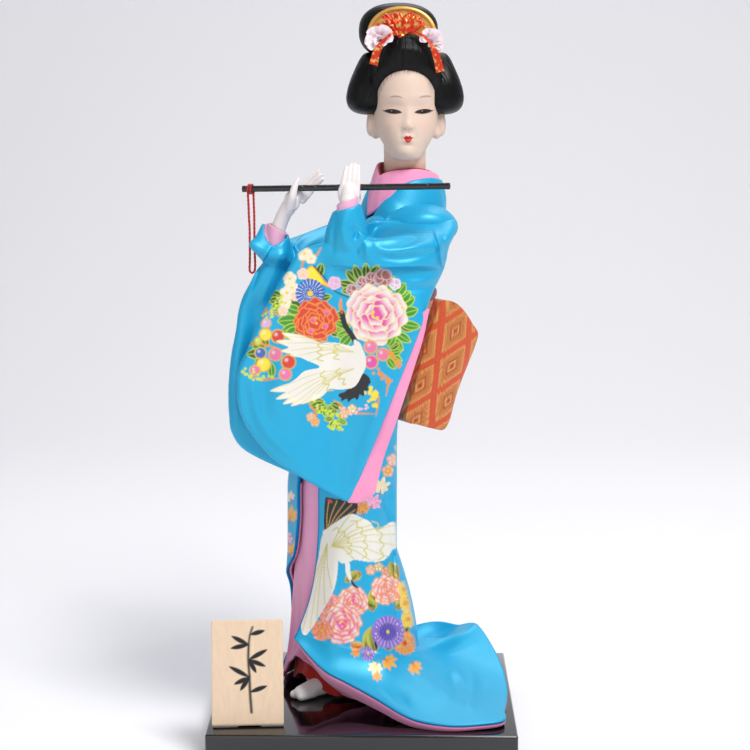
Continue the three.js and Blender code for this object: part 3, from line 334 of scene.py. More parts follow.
def newFinish(name, color, roughness, looks=(), grain=None, mottle=None, painted=False):
    # grain is (size, depth) of a fine relief in mm, and mottle (size, share) of a soft change of shade
    finish = bpy.data.materials.new(name)
    finish.use_nodes = True
    links = finish.node_tree.links
    shader = finish.node_tree.nodes["Principled BSDF"]
    shader.inputs["Roughness"].default_value = roughness
    for socket, value in dict(looks).items():
        shader.inputs[socket].default_value = value
    place = addNode(finish, "ShaderNodeTexCoord").outputs["Object"]
    source = None
    if painted:
        source = addNode(finish, "ShaderNodeAttribute", attribute_name="paint").outputs["Color"]
        goldShare = addNode(finish, "ShaderNodeAttribute", attribute_name="gold").outputs["Fac"]
        metal = addNode(finish, "ShaderNodeMath", operation="MULTIPLY")
        metal.inputs[1].default_value = 0.75
        links.new(goldShare, metal.inputs[0])
        links.new(metal.outputs[0], shader.inputs["Metallic"])
    else:
        shader.inputs["Base Color"].default_value = (*linear(*color), 1)
    if mottle:
        cloud = addNode(finish, "ShaderNodeTexNoise", Scale=1000 / mottle[0], Detail=4.0)
        links.new(place, cloud.inputs["Vector"])
        spread = addNode(finish, "ShaderNodeMapRange")
        spread.inputs["To Min"].default_value = 1 - mottle[1]
        spread.inputs["To Max"].default_value = 1 + mottle[1]
        links.new(cloud.outputs["Fac"], spread.inputs["Value"])
        blend = addNode(finish, "ShaderNodeMix", data_type="RGBA", blend_type="MULTIPLY")
        blend.inputs["Factor"].default_value = 1
        if source is None:
            blend.inputs["A"].default_value = (*linear(*color), 1)
        else:
            links.new(source, blend.inputs["A"])
        links.new(spread.outputs["Result"], blend.inputs["B"])
        source = blend.outputs["Result"]
    if source is not None:
        links.new(source, shader.inputs["Base Color"])
    if grain:
        fine = addNode(finish, "ShaderNodeTexNoise", Scale=1000 / grain[0], Detail=3.0)
        links.new(place, fine.inputs["Vector"])
        relief = addNode(finish, "ShaderNodeBump", Strength=1.0, Distance=grain[1] * mm)
        links.new(fine.outputs["Fac"], relief.inputs["Height"])
        links.new(relief.outputs["Normal"], shader.inputs["Normal"])
    return finish


def streaked(finish, direction, pitch, share, color, painted=False):
    # straight-grained wood: rings drawn out along one direction, in mm
    links = finish.node_tree.links
    shader = finish.node_tree.nodes["Principled BSDF"]
    place = addNode(finish, "ShaderNodeTexCoord").outputs["Object"]
    stretch = addNode(finish, "ShaderNodeMapping")
    stretch.inputs["Scale"].default_value = [1000 / pitch / (18 if k == direction else 1) for k in range(3)]
    links.new(place, stretch.inputs["Vector"])
    ring = addNode(finish, "ShaderNodeTexNoise", Scale=1.0, Detail=5.0, Roughness=0.6)
    links.new(stretch.outputs["Vector"], ring.inputs["Vector"])
    ramp = addNode(finish, "ShaderNodeValToRGB")
    ramp.color_ramp.elements[0].position = 0.3
    ramp.color_ramp.elements[0].color = (*(linear(*color) * (1 - share)), 1)
    ramp.color_ramp.elements[1].position = 0.7
    ramp.color_ramp.elements[1].color = (*linear(*color), 1)
    links.new(ring.outputs["Fac"], ramp.inputs["Fac"])
    blend = addNode(finish, "ShaderNodeMix", data_type="RGBA", blend_type="MULTIPLY")
    blend.inputs["Factor"].default_value = 1
    blend.inputs["B"].default_value = (1, 1, 1, 1)
    links.new(ramp.outputs["Color"], blend.inputs["A"])
    if painted:
        ink = addNode(finish, "ShaderNodeAttribute", attribute_name="paint")
        links.new(ink.outputs["Color"], blend.inputs["B"])
    links.new(blend.outputs["Result"], shader.inputs["Base Color"])
    relief = addNode(finish, "ShaderNodeBump", Strength=0.6, Distance=0.05 * mm)
    links.new(ring.outputs["Fac"], relief.inputs["Height"])
    links.new(relief.outputs["Normal"], shader.inputs["Normal"])
    return finish


shades = {
    "satin": (7, 162, 212), "pink": (246, 154, 194), "red": (176, 26, 18), "darkRed": (104, 18, 26),
    "skin": (226, 200, 182), "white": (240, 231, 229), "hair": (7, 6, 7), "lacquer": (10, 9, 10),
    "wood": (236, 208, 178), "cuff": (242, 178, 208), "flute": (14, 10, 10), "tabi": (246, 242, 242),
}
softSkin = {"Subsurface Weight": 0.08, "Subsurface Scale": 0.001}
satinLooks = {"Sheen Weight": 0.12, "Sheen Roughness": 0.3, "Sheen Tint": (0.3, 0.98, 1, 1), "IOR": 1.75,
              "Specular IOR Level": 1.0, "Specular Tint": (0.3, 1, 0.97, 1)}
clothLooks = {"Sheen Weight": 0.3, "Sheen Roughness": 0.5, "Specular IOR Level": 0.3}
finishes = {
    "satin": newFinish("turquoise_satin", shades["satin"], 0.44, satinLooks, (0.35, 0.03), (9, 0.06), True),
    "pink": newFinish("pink_cloth", shades["pink"], 0.7, clothLooks, (0.3, 0.05), (6, 0.06), True),
    "red": newFinish("red_cloth", shades["red"], 0.7, clothLooks, (0.3, 0.05), (5, 0.08)),
    "darkRed": newFinish("dark_red_cloth", shades["darkRed"], 0.6, clothLooks, (0.25, 0.06), (4, 0.1)),
    "brocade": newFinish("brocade", (0, 0, 0), 0.55, clothLooks, (0.25, 0.06), (3, 0.08), True),
    "skin": newFinish("face_skin", (0, 0, 0), 0.5, softSkin, (0.5, 0.006), (7, 0.02), True),
    "white": newFinish("white_skin", shades["white"], 0.5, softSkin, (0.5, 0.006), (5, 0.02)),
    "hair": newFinish("hair", shades["hair"], 0.38, {"Specular IOR Level": 0.22}, (0.2, 0.02), (4, 0.25)),
    "gold": newFinish("gold", (0, 0, 0), 0.34, (), (0.6, 0.03), (3, 0.12), True),
    "foil": newFinish("red_foil", (0, 0, 0), 0.3, (), (0.9, 0.09), None, True),
    "petals": newFinish("petals", (0, 0, 0), 0.65, clothLooks, (0.3, 0.04), (3, 0.04), True),
    "sock": newFinish("sock_cloth", shades["tabi"], 0.75, clothLooks, (0.3, 0.05), (4, 0.05)),
    "lacquer": newFinish("black_lacquer", shades["lacquer"], 0.12,
                         {"Coat Weight": 0.6, "Coat Roughness": 0.05}, None, (5, 0.3)),
    "plaque": streaked(newFinish("pale_wood", (0, 0, 0), 0.6), 2, 1.4, 0.09, shades["wood"], True),
    "bareWood": streaked(newFinish("bare_wood", (0, 0, 0), 0.65), 2, 1.8, 0.25, (214, 176, 128)),
    "flute": newFinish("dark_wood", shades["flute"], 0.32, {"Coat Weight": 0.3, "Coat Roughness": 0.15},
                       (0.5, 0.02), (2, 0.3)),
    "cord": newFinish("red_cord", (178, 24, 22), 0.6, clothLooks, (0.15, 0.04), (1.5, 0.12)),
    "steel": newFinish("steel", (170, 170, 172), 0.35, {"Metallic": 1.0}, (0.4, 0.01), (3, 0.05)),
    "stuffing": newFinish("stuffing", (226, 214, 190), 0.9, clothLooks, (0.8, 0.15), (4, 0.1)),
}
# the satin's gloss takes a pale tint of the colour under it
satinTree = finishes["satin"].node_tree
glossInk = addNode(finishes["satin"], "ShaderNodeAttribute", attribute_name="paint")
glossTint = addNode(finishes["satin"], "ShaderNodeGamma", Gamma=0.2)
satinTree.links.new(glossInk.outputs["Color"], glossTint.inputs["Color"])
satinTree.links.new(glossTint.outputs["Color"], satinTree.nodes["Principled BSDF"].inputs["Specular Tint"])
print("finishes ready")

# Cord loop hanging from the flute, on the route of its solid
cordRoute = [
    (-1.0, 0.0, -0.5), (-1.0, 0.0, 1.0), (-0.9, 0.1, 3), (-0.8, 0.2, 6), (-0.7, 0.3, 10), (-0.5, 0.4, 14),
    (-0.5, 0.5, 19), (-0.5, 0.6, 24), (-0.6, 0.6, 28), (-0.7, 0.6, 30.4), (-0.4, 0.6, 31.6),
    (0.4, 0.6, 32), (1.2, 0.6, 31.4), (1.5, 0.6, 30), (1.5, 0.6, 27), (1.4, 0.5, 23), (1.4, 0.4, 18),
    (1.4, 0.3, 13), (1.4, 0.2, 9), (1.3, 0.1, 5), (1.2, 0.0, 1.0), (1.1, 0.0, -0.5),
]
cordSet = {"radius": 0.45, "twists": 40, "knot": (-44.4, -22.606, 227.541)}
knotAt = np.array(cordSet["knot"])
cordLine = throughPoints([knotAt + (x, y, -z) for x, y, z in cordRoute], 340)


def twoPly(share, angle):
    return 0.86 + 0.2 * np.abs(np.cos(angle + share * cordSet["twists"] * np.pi))


cordPiece = makePiece("flute_cord_loop", tubeShell(sweep(cordLine, cordSet["radius"], 16, twoPly)), "flute",
                      finishes["cord"], "flute_cord")


# Print painting: a canvas is a set of points laid out flat, with a colour and a gold share each

def pictured(points):
    # where points fall in the photograph's frame
    down = math.radians(camera["down"])
    left = math.radians(camera["left"])
    ahead = np.array((-math.sin(left) * math.cos(down), math.cos(left) * math.cos(down), -math.sin(down)))
    right = np.array((math.cos(left), math.sin(left), 0))
    away = np.asarray(points) - np.array(camera["at"]) / mm
    scale = camera["picture"] * camera["lens"] / camera["sensor"] / (away @ ahead)
    half = camera["picture"] / 2
    return np.stack([half + scale * (away @ right), half - scale * (away @ np.cross(right, ahead))], axis=1)


def newCanvas(at, color):
    return {"at": np.asarray(at, float), "color": np.tile(linear(*color), (len(at), 1)),
        "gold": np.zeros(len(at)), "open": np.ones(len(at))}


def layOn(canvas, pick, mask, color, gold=0.0):
    m = np.clip(mask, 0, 1) * canvas["open"][pick]
    canvas["color"][pick] = mix(canvas["color"][pick], color, m[:, None])
    canvas["gold"][pick] = mix(canvas["gold"][pick], gold, m)


def around(canvas, middle, reach):
    off = canvas["at"] - np.array(middle)
    pick = np.flatnonzero((np.abs(off) < reach).all(axis=1))
    return pick, off[pick, 0], -off[pick, 1]


inks = {name: linear(*value) for name, value in {
    "white": (238, 233, 222), "straw": (206, 196, 92), "black": (16, 16, 19), "cream": (246, 226, 160),
    "gold": (232, 184, 84), "yellow": (244, 204, 60), "lemon": (250, 226, 44), "orange": (238, 138, 44),
    "red": (214, 50, 34), "rose": (232, 110, 160), "blush": (248, 190, 210), "blue": (44, 92, 180),
    "violet": (120, 96, 190), "leaf": (44, 140, 30), "forest": (14, 78, 22), "olive": (112, 110, 34),
    "dark": (16, 16, 24), "brown": (146, 78, 64), "lime": (196, 220, 60), "moss": (30, 84, 24),
    "magenta": (224, 66, 160), "purple": (70, 58, 156), "ivory": (246, 243, 228),
    "mauve": (212, 172, 180), "lilac": (214, 170, 214)}.items()}


def spoke(middle, reach, turn):
    # the end of a spoke from a middle, with the drawing's second axis pointing down
    return (middle[0] + reach * math.cos(turn), middle[1] - reach * math.sin(turn))


def paintLeaf(canvas, tail, tip, width, color, line="gold", rib=True, soft=0.7, other=None):
    tail, tip = np.array(tail, float), np.array(tip, float)
    span = np.linalg.norm(tip - tail)
    pick, x, y = around(canvas, (tail + tip) / 2, span / 2 + width + 2)
    if not len(pick):
        return
    along = np.array((tip[0] - tail[0], tail[1] - tip[1])) / span
    p = (x * along[0] + y * along[1]) / span + 0.5
    q = -x * along[1] + y * along[0]
    edge = width * np.sin(np.pi * np.clip(p, 0, 1)) ** 0.7
    inside = smooth(-soft, soft, edge - np.abs(q)) * (p > 0) * (p < 1)
    shade = inks[color] * (0.8 + 0.35 * p)[:, None]
    if other:
        shade = mix(shade, inks[other], (0.75 * smooth(-0.2, 0.9, q / width + 0.5 * p - 0.2))[:, None])
    layOn(canvas, pick, inside, shade)
    if line:
        layOn(canvas, pick, inside * bump(edge - np.abs(q), 0.2, 0.8), inks[line], float(line == "gold"))
    if rib:
        layOn(canvas, pick, 0.7 * inside * bump(q, 0, 0.5), inks[line or "cream"], float(line == "gold"))


def paintDisc(canvas, middle, radius, color, line=None, shine=True):
    pick, x, y = around(canvas, middle, radius + 2)
    far = np.hypot(x, y)
    layOn(canvas, pick, smooth(radius + 0.5, radius - 0.5, far), inks[color])
    if shine:
        layOn(canvas, pick, 0.7 * smooth(radius * 0.45, 0, np.hypot(x + radius * 0.3, y - radius * 0.3)),
            inks["white"])
    if line:
        layOn(canvas, pick, bump(far, radius, 0.7), inks[line], float(line == "gold"))


def paintStroke(canvas, points, width, color, gold=0.0, taper=True):
    line = throughPoints(points, 40)
    pick, x, y = around(canvas, line.mean(axis=0), np.ptp(line, axis=0).max() + 3 * width + 2)
    if not len(pick):
        return
    at = canvas["at"][pick]
    gaps = np.linalg.norm(at[:, None] - line[None], axis=2)
    share = gaps.argmin(axis=1) / 39
    reach = width * (np.sqrt(np.clip(np.sin(np.pi * (0.06 + 0.88 * share)), 0, 1)) if taper else 1)
    layOn(canvas, pick, smooth(0.5, -0.5, gaps.min(axis=1) - reach), inks[color], gold)


def paintShape(canvas, outline, color, line=None):
    # filled outline with a soft edge
    ring = throughPoints(outline, 120, closed=True)
    middle = ring.mean(axis=0)
    pick, _, _ = around(canvas, middle, np.linalg.norm(ring - middle, axis=1).max() + 2)
    if not len(pick):
        return
    at = canvas["at"][pick]
    after = np.roll(ring, -1, axis=0)
    step = after - ring
    step[:, 1] += 1e-9
    inside = np.zeros(len(pick), bool)
    gap = np.full(len(pick), 99.0)
    for (x0, y0), (_, y1), (dx, dy) in zip(ring, after, step):
        crossed = (y0 > at[:, 1]) != (y1 > at[:, 1])
        inside ^= crossed & (at[:, 0] < x0 + (at[:, 1] - y0) * dx / dy)
        gap = np.minimum(gap, np.hypot(at[:, 0] - x0, at[:, 1] - y0))
    far = np.where(inside, gap, -gap)
    layOn(canvas, pick, smooth(-0.5, 0.5, far), inks[color])
    if line:
        layOn(canvas, pick, bump(far, 0.3, 0.6), inks[line], float(line == "gold"))


def paintPetal(canvas, middle, turn, size, inner, outer, line, wave=0.05, wide=0.9, fade=(-0.55, 0.8)):
    pick, x, y = around(canvas, middle, size * 1.25 + 1)
    if not len(pick):
        return
    p = (x * math.cos(turn) + y * math.sin(turn)) / size
    q = (-x * math.sin(turn) + y * math.cos(turn)) / size / wide
    far = np.hypot(p, q) + wave * np.sin(5 * np.arctan2(q, p) + turn * 3)
    inside = smooth(0.5, -0.5, (far - 0.95) * size)
    layOn(canvas, pick, inside, mix(inks[inner], inks[outer], smooth(*fade, p)[:, None]))
    layOn(canvas, pick, bump((far - 0.95) * size, 0, 0.6), inks[line], float(line == "gold"))


def paintPeony(canvas, middle, radius, inner, outer, line="gold", seed=1, fade=(-0.55, 0.8)):
    own = np.random.default_rng(seed)
    for reach, size, count in ((0.66, 0.36, 9), (0.5, 0.34, 8), (0.3, 0.3, 6), (0.12, 0.26, 3)):
        start = own.uniform(0, 6.3)
        for k in range(count):
            turn = start + 2 * math.pi * k / count + own.uniform(-0.15, 0.15)
            long = radius * size * own.uniform(0.86, 1.16)
            paintPetal(canvas, spoke(middle, radius * reach, turn), turn, long, inner, outer, line, 0.09,
                1.05, fade)
    for k in range(5):
        spot = spoke(middle, radius * 0.12, -own.uniform(0, 6.3))
        paintDisc(canvas, spot, max(0.7, radius * 0.05), "yellow", None, False)


def paintMum(canvas, middle, radius, color, line, heart="yellow", count=16):
    pick, x, y = around(canvas, middle, radius * 1.15)
    far = np.hypot(x, y) / radius
    turn = np.arctan2(y, x)
    for reach, shift in ((1.0, 0.0), (0.55, 0.5)):
        part = np.abs(np.cos(count / 2 * turn + shift * np.pi))
        rim = reach * (0.88 + 0.12 * part)
        inside = smooth(0.5, -0.5, (far - rim) * radius)
        layOn(canvas, pick, inside, inks[color] * (0.8 + 0.35 * smooth(0.2, reach, far))[:, None])
        layOn(canvas, pick, inside * smooth(0.34, 0.12, part) * smooth(0.12, 0.3, far), inks[line])
    layOn(canvas, pick, smooth(0.22, 0.16, far), inks[heart], 0.4)


def paintPlum(canvas, middle, radius, color, line="cream"):
    for k in range(5):
        turn = 0.3 + 2 * math.pi * k / 5
        outer = "blush" if color != "white" else "white"
        paintPetal(canvas, spoke(middle, radius * 0.55, turn), turn, radius * 0.5, color, outer, line, 0, 1)
    paintDisc(canvas, middle, radius * 0.22, "yellow", None, False)


def paintMaple(canvas, middle, size, turn, color, line="gold"):
    for lean, share in ((-125, 0.5), (125, 0.5), (-82, 0.75), (82, 0.75), (-42, 0.92), (42, 0.92), (0, 1)):
        tip = spoke(middle, size * share, math.radians(turn + lean))
        paintLeaf(canvas, middle, tip, size * 0.17, color, line, True, 0.5)
    stalk = spoke(middle, size * 0.7, math.radians(turn + 180))
    paintQuill(canvas, middle, stalk, (0.6, 0), 0.5, "brown", 0, True)


def paintQuill(canvas, root, tip, bend, width, color, gold=0.0, taper=False):
    # one feather's line, its middle moved by bend
    half = ((root[0] + tip[0]) / 2 + bend[0], (root[1] + tip[1]) / 2 + bend[1])
    paintStroke(canvas, [root, half, tip], width, color, gold, taper)


def paintScallops(canvas, middle, reach, low, high, count, rise):
    # a row of short arcs round a middle, as the feathers' ends overlap
    edges = np.radians(np.linspace(low, high, count + 1))
    for near, far in zip(edges[:-1], edges[1:]):
        ways = ((reach, near), (reach + rise, (near + far) / 2), (reach, far))
        paintStroke(canvas, [spoke(middle, r, t) for r, t in ways], 0.62, "straw", 0, False)


def paintSpray(canvas, points, color, size, seed):
    own = np.random.default_rng(seed)
    line = throughPoints(points, 9)
    paintStroke(canvas, points, 0.4, "gold", 1.0)
    for spot in line:
        for _ in range(2):
            paintDisc(canvas, spot + own.normal(0, size * 1.1, 2), size * own.uniform(0.6, 1), color,
                None, False)


# Folds: lines drawn in the photograph's frame push the cloth out or in

def foldAlong(spots, points):
    # side and nearness of each point to a drawn line, faded at the line's ends
    line = throughPoints(points, 60)
    off = spots[:, None] - line[None]
    gaps = np.einsum("ijk,ijk->ij", off, off)
    k = gaps.argmin(axis=1)
    way = np.gradient(line, axis=0)[k]
    away = off[np.arange(len(spots)), k]
    side = (way[:, 0] * away[:, 1] - way[:, 1] * away[:, 0]) / np.linalg.norm(way, axis=1)
    return side, np.sqrt(gaps.min(axis=1)), np.sin(np.pi * (0.02 + 0.96 * k / 59)) ** 0.5


def foldHeight(spots, folds):
    # each fold is (kind, points, height, width): a ridge or a tuck whose right side stands over the left
    total = np.zeros(len(spots))
    for kind, points, height, width in folds:
        points = np.array(points, float)
        low = points.min(axis=0) - 3.2 * width
        high = points.max(axis=0) + 3.2 * width
        pick = np.flatnonzero(((spots > low) & (spots < high)).all(axis=1))
        if not len(pick):
            continue
        side, gap, fade = foldAlong(spots[pick], points)
        if kind == "ridge":
            push = np.exp(-(gap / width) ** 2)
        else:
            push = np.exp(-(gap / width) ** 2) * (smooth(-0.8, 0.8, side) - 0.75 * smooth(0.8, -0.8, side)
                                                  * np.exp(-gap / width * 1.5))
        total[pick] += height * push * fade
    return total


# Body under the clothes

bodySet = {
    "rows": [(22, 13.5, 13.5), (60, 15, 15), (86, 15.5, 16.5), (150, 12.5, 13.5), (174, 14, 17),
             (186, 14.5, 18.5), (192, 12.5, 17.5), (203, 8.4, 10), (208.7, 6.4, 7.4)],
    "lean": (86, 212), "bodiceEase": 2, "satin": 1.2, "obiEase": 3.5, "obiCloth": 1.8, "obi": (132, 168),
}


def axisX(height):
    return mix(stand[0], neck[0], smooth(*bodySet["lean"], height))


def bodyRing(height, angle, ease):
    depth = rows(bodySet["rows"], height, 1) + ease
    width = rows(bodySet["rows"], height, 2) + ease
    turn = np.radians(angle)
    reach = 1 / np.hypot(np.cos(turn) / depth, np.sin(turn) / width)
    x, y = toward(angle)
    return np.stack(np.broadcast_arrays(axisX(height) + reach * x, stand[1] + reach * y, deck + height),
        axis=-1)


def bodyTube(low, high, ease, n, m):
    height = np.linspace(low, high, n)[:, None]
    angle = np.linspace(0, 360, m, endpoint=False)[None]
    return bodyRing(height, angle, ease)


core = bodyTube(22, 208.7, 0, 120, 96)
coreTurn = np.linspace(0, 2 * np.pi, 96, endpoint=False)
coreLumps = 0.25 * (waves(core[..., 2], 5, 0.2, 0.5, 3) * np.cos(3 * coreTurn))
core += coreLumps[..., None] * gridNormals(core, wrapM=True)
corePiece = makePiece("body_stuffing", tubeShell(core), "doll", finishes["stuffing"],
    "body_core")


# Brocade: a lozenge lattice with nested squares, in mm on the cloth
brocadeSet = {"across": 13, "up": 19}


def lattice(u, v):
    # counts of cells along the lattice's two directions
    return u / brocadeSet["across"] + v / brocadeSet["up"], u / brocadeSet["across"] - v / brocadeSet["up"]


def brocadePaint(a, b):
    ground, copper = linear(214, 82, 36), linear(196, 110, 50)
    gold, red = linear(232, 170, 92), linear(170, 48, 24)
    sideA = np.abs(a % 1 - 0.5) * 2
    sideB = np.abs(b % 1 - 0.5) * 2
    near = np.maximum(sideA, sideB)
    color = np.tile(ground, (len(a), 1))
    shine = np.full(len(a), 0.1)

    def band(mask, ink, gilt):
        nonlocal color, shine
        color = mix(color, ink, mask[:, None])
        shine = mix(shine, gilt, mask)

    thread = 0.5 + 0.5 * np.sin(2 * np.pi * (a * 9 + b * 14))
    band(smooth(0.8, 0.76, near), mix(copper, gold, 0.25 * thread[:, None]), 0.45)
    band(bump(near, 0.75, 0.035), gold, 0.6)
    band(0.7 * bump(near, 0.64, 0.02), gold, 0.5)
    band(0.45 * bump(near, 0.9, 0.03) * thread, red, 0)
    band(bump(near, 0.31, 0.045), red, 0)
    band(bump(near, 0.21, 0.04), gold, 0.5)
    band(smooth(0.13, 0.09, near), red, 0)
    return color, shine


obiLow, obiHigh = bodySet["obi"]
obiTurn = np.linspace(0, 360, 260, endpoint=False)[None]
obiRise = np.linspace(obiLow, obiHigh, 90)[:, None]
obiFace = bodyRing(obiRise, obiTurn, bodySet["obiEase"] + bodySet["obiCloth"])
obiBack = bodyRing(obiRise, obiTurn, bodySet["obiEase"])
obiSet = {"roll": 0.5, "crease": 0.22, "girthShare": 0.32}  # mm of bulge and crease, mm of cloth to a degree
obiArc = np.pi * (obiRise - obiLow) / (obiHigh - obiLow)
obiRoll = obiSet["roll"] * np.sin(obiArc) ** 0.5 * np.ones_like(obiTurn)
obiRoll += obiSet["crease"] * bump(np.sin(obiRise * 0.75 + 0.4 * np.sin(np.radians(obiTurn * 2))), 1, 0.4)
obiOut = np.stack(np.broadcast_arrays(*toward(obiTurn), 0 * obiTurn), axis=-1)
obiFace += (obiRoll - obiSet["roll"])[..., None] * obiOut
obiShell = sheetShell(obiFace.transpose(1, 0, 2), obiBack.transpose(1, 0, 2), wrapN=True)
obiU = np.broadcast_to(obiTurn * obiSet["girthShare"], obiFace.shape[:2]).T.ravel()
obiV = np.broadcast_to(obiRise, obiFace.shape[:2]).T.ravel()
obiU, obiV = np.tile(obiU, 2), np.tile(obiV, 2)
obiColor, obiGold = brocadePaint(*lattice(obiU, obiV))
obiPiece = makePiece("obi_wrap", obiShell, "doll", finishes["brocade"], "obi_band", obiColor,
    obiGold)

# Scarf tucked along the obi's upper edge
scarfSet = {"rise": 170.2, "out": 4.1, "half": (0.95, 2.0), "puff": 0.22}
scarfTurn = np.linspace(0, 360, 240, endpoint=False)
scarfRound = np.linspace(0, 2 * np.pi, 28, endpoint=False)
scarfMiddle = bodyRing(np.full(240, scarfSet["rise"]), scarfTurn, scarfSet["out"])
scarfOut = np.stack([*toward(scarfTurn), np.zeros(240)], axis=-1)
scarfWave = waves(np.radians(scarfTurn) * 9, 4, 0.6, 1.5, 5)
scarfPuff = 1 + scarfSet["puff"] * np.outer(scarfWave, np.abs(np.cos(scarfRound)))
scarfThick, scarfTall = scarfSet["half"]
scarf = (scarfMiddle[:, None] + (scarfThick * np.cos(scarfRound) * scarfPuff)[..., None] * scarfOut[:, None]
         + (scarfTall * np.sin(scarfRound))[None, :, None] * np.array((0, 0, 1.0)))
scarfShell = (scarf.reshape(-1, 3), [list(f) for f in gridFaces(240, 28, True, True)])
scarfPiece = makePiece("obi_scarf_roll", scarfShell, "doll", finishes["darkRed"],
    "obi_scarf")

# Bow at the back, a stuffed brocade fold
bowSet = {"half": 18, "crown": 1.6, "cross": (21.4, 142.6),
          "outline": [(14.4, 150), (14.2, 161), (15, 167), (22, 165.8), (29.3, 161.4), (36, 155.6),
                      (40, 151.4), (40.3, 146), (39.8, 140), (39.2, 130), (38.7, 118), (37.9, 113),
                      (35.6, 110.4), (29, 112), (23.5, 113.9), (15, 117.4), (14.4, 130)]}
bowLine = throughPoints(bowSet["outline"], 150, closed=True)
bowHeart = bowLine.mean(axis=0)
bowEnd = np.linspace(0, 1, 34)
bowSides = [(-bowSet["half"] - bowSet["crown"] * math.cos(t * math.pi / 2) ** 1.2,
    math.sin(t * math.pi / 2) ** 0.9) for t in bowEnd[:-1]]
bowSides += [(s, 1.0) for s in np.linspace(-bowSet["half"], bowSet["half"], 60)]
bowSides += [(-s, k) for s, k in bowSides[:33][::-1]]
bowRings = []
bowLay = []
bowArc = np.linspace(0, 1, 150, endpoint=False) * 150
for side, share in bowSides:
    ring = bowHeart + (bowLine - bowHeart) * max(share, 0.012)
    soft = 0.35 * share * np.sin(bowArc * 0.18 + side * 0.2) * bump(abs(side), bowSet["half"], 6)
    x = axisX(ring[:, 1]) + toward(180)[0] * (ring[:, 0] + soft) + toward(90)[0] * side
    y = stand[1] + toward(180)[1] * (ring[:, 0] + soft) + toward(90)[1] * side
    bowRings.append(np.stack([x, y, deck + ring[:, 1]], axis=1))
    if abs(side) > bowSet["half"] - 0.01:
        u, v = (ring - np.array(bowSet["cross"])).T
        bowLay.append(np.stack([0.0652 * u + 0.0165 * v, 0.0305 * u - 0.0583 * v], axis=1))
    else:
        bowLay.append(np.stack(lattice(side, bowArc), axis=1))
bowShell = tubeShell(np.array(bowRings))
bowFlat = np.vstack(bowLay + [bowLay[0].mean(0)[None], bowLay[-1].mean(0)[None]])
bowColor, bowGold = brocadePaint(bowFlat[:, 0], bowFlat[:, 1])
bowPiece = makePiece("obi_bow_fold", bowShell, "doll", finishes["brocade"], "obi_bow",
    bowColor, bowGold)


# Skirts, spreading from the body to a trailing hem

skirtSet = {
    "reach": [(0, 29), (15, 30.5), (30, 33), (45, 36), (60, 40.5), (75, 52), (84, 64.8), (90, 73),
              (98, 80.5), (106, 85.6), (112, 80), (120, 75.5), (130, 72), (144, 68.5), (155, 66),
              (167, 63), (180, 60), (188, 57), (196, 50.5), (206, 44), (225, 36), (250, 33), (300, 31)],
    "hem": [(0, 29), (15, 28), (30, 23), (45, 18), (60, 14.2), (75, 9.2), (84, 4.4), (90, 3.6),
            (106, 3.6), (130, 3.8), (144, 7.5), (155, 13), (167, 19.4), (180, 17.4), (194, 15.5),
            (206, 10), (225, 4.5), (250, 3.6), (300, 3.6)],
    "middle": [(0, 9), (100, 9), (130, 9.5), (150, 12), (163, 16.5), (172, 13), (185, 8), (200, 7),
               (215, 8), (360, 8)],
    "train": [(0, 23, 60), (0.12, 25.6, 52), (0.3, 29.4, 38), (0.42, 31.4, 27), (0.5, 32.2, 19)],
    "top": 130, "knee": 60, "radius": 23, "leftEdge": (30, 15), "rightEdge": (2, -56), "fallBack": 16,
    "rows": 300, "piping": 0.006, "pipingShade": (0, 112, 190), "rimShade": (0, 120, 190),
}
reachRows = [(a + turn, r) for turn in (-360, 0, 360) for a, r in skirtSet["reach"]]
hemRows = [(a + turn, h) for turn in (-360, 0, 360) for a, h in skirtSet["hem"]]


def hump(angle, middle, spread):
    return 1 - smooth(0, spread, np.abs((angle - middle + 180) % 360 - 180))


def kimonoHem(angle):
    return rows(hemRows, angle)


def footHem(angle, rise, middle, spread):
    return 1.8 + rise * hump(angle, middle, spread)


def flared(angle, along, top, waist, radius, folds, reach, hem):
    knee = skirtSet["knee"]
    ripple = folds * np.sin(np.radians(9 * angle))
    height = mix(top, knee, np.minimum(along, 1))
    upper = mix(waist, radius, smooth(0, 0.6, along)) + ripple * np.minimum(along, 1)
    t = np.clip(along - 1, 0, 1)
    low = np.maximum(12.8, hem + 4)

    def bend(a, b, c, d):
        return a * (1 - t) ** 3 + 3 * b * t * (1 - t) ** 2 + 3 * c * t * t * (1 - t) + d * t ** 3

    lower = bend(radius, radius + 1.5, radius + 0.35 * (reach - radius),
        reach) + ripple * (1 + 2 * t * (1 - t))
    out = np.where(along <= 1, upper, lower)
    rise = np.where(along <= 1, height, bend(knee, 0.6 * knee, low, hem))
    # behind and to the left the tube keeps on down to the train, which lies out from its foot
    share = smooth(50, 105, angle % 360) * smooth(238, 205, angle % 360) * smooth(40, 60, reach)
    _, foot, footRise = skirtSet["train"][-1]
    outward = np.clip(2 * t - 1, 0, 1)
    middle = 2 * rows(skirtSet["middle"], angle % 360) - footRise / 2 - hem / 2
    trainOut = np.where(t < 0.5, rows(skirtSet["train"], t, 1) - 23 + radius,
        foot + (reach - foot) * outward ** 1.35)
    trainRise = np.where(t < 0.5, rows(skirtSet["train"], t, 2), footRise * (1 - outward) ** 2
                         + 2 * middle * outward * (1 - outward) + hem * outward ** 2)
    out = np.where(along <= 1, out, mix(out, trainOut, share))
    rise = np.where(along <= 1, rise, mix(rise, trainRise, share))
    x, y = toward(angle)
    return np.stack([np.where(along <= 1, axisX(height), stand[0]) + out * x, stand[1] + out * y,
        deck + rise], axis=-1)


def kimonoSkirt(angle, along):
    waist = rows(bodySet["rows"], skirtSet["top"], 1) + 5.6
    return flared(angle, along, skirtSet["top"], waist, skirtSet["radius"], 0.5, rows(reachRows, angle),
        kimonoHem(angle))


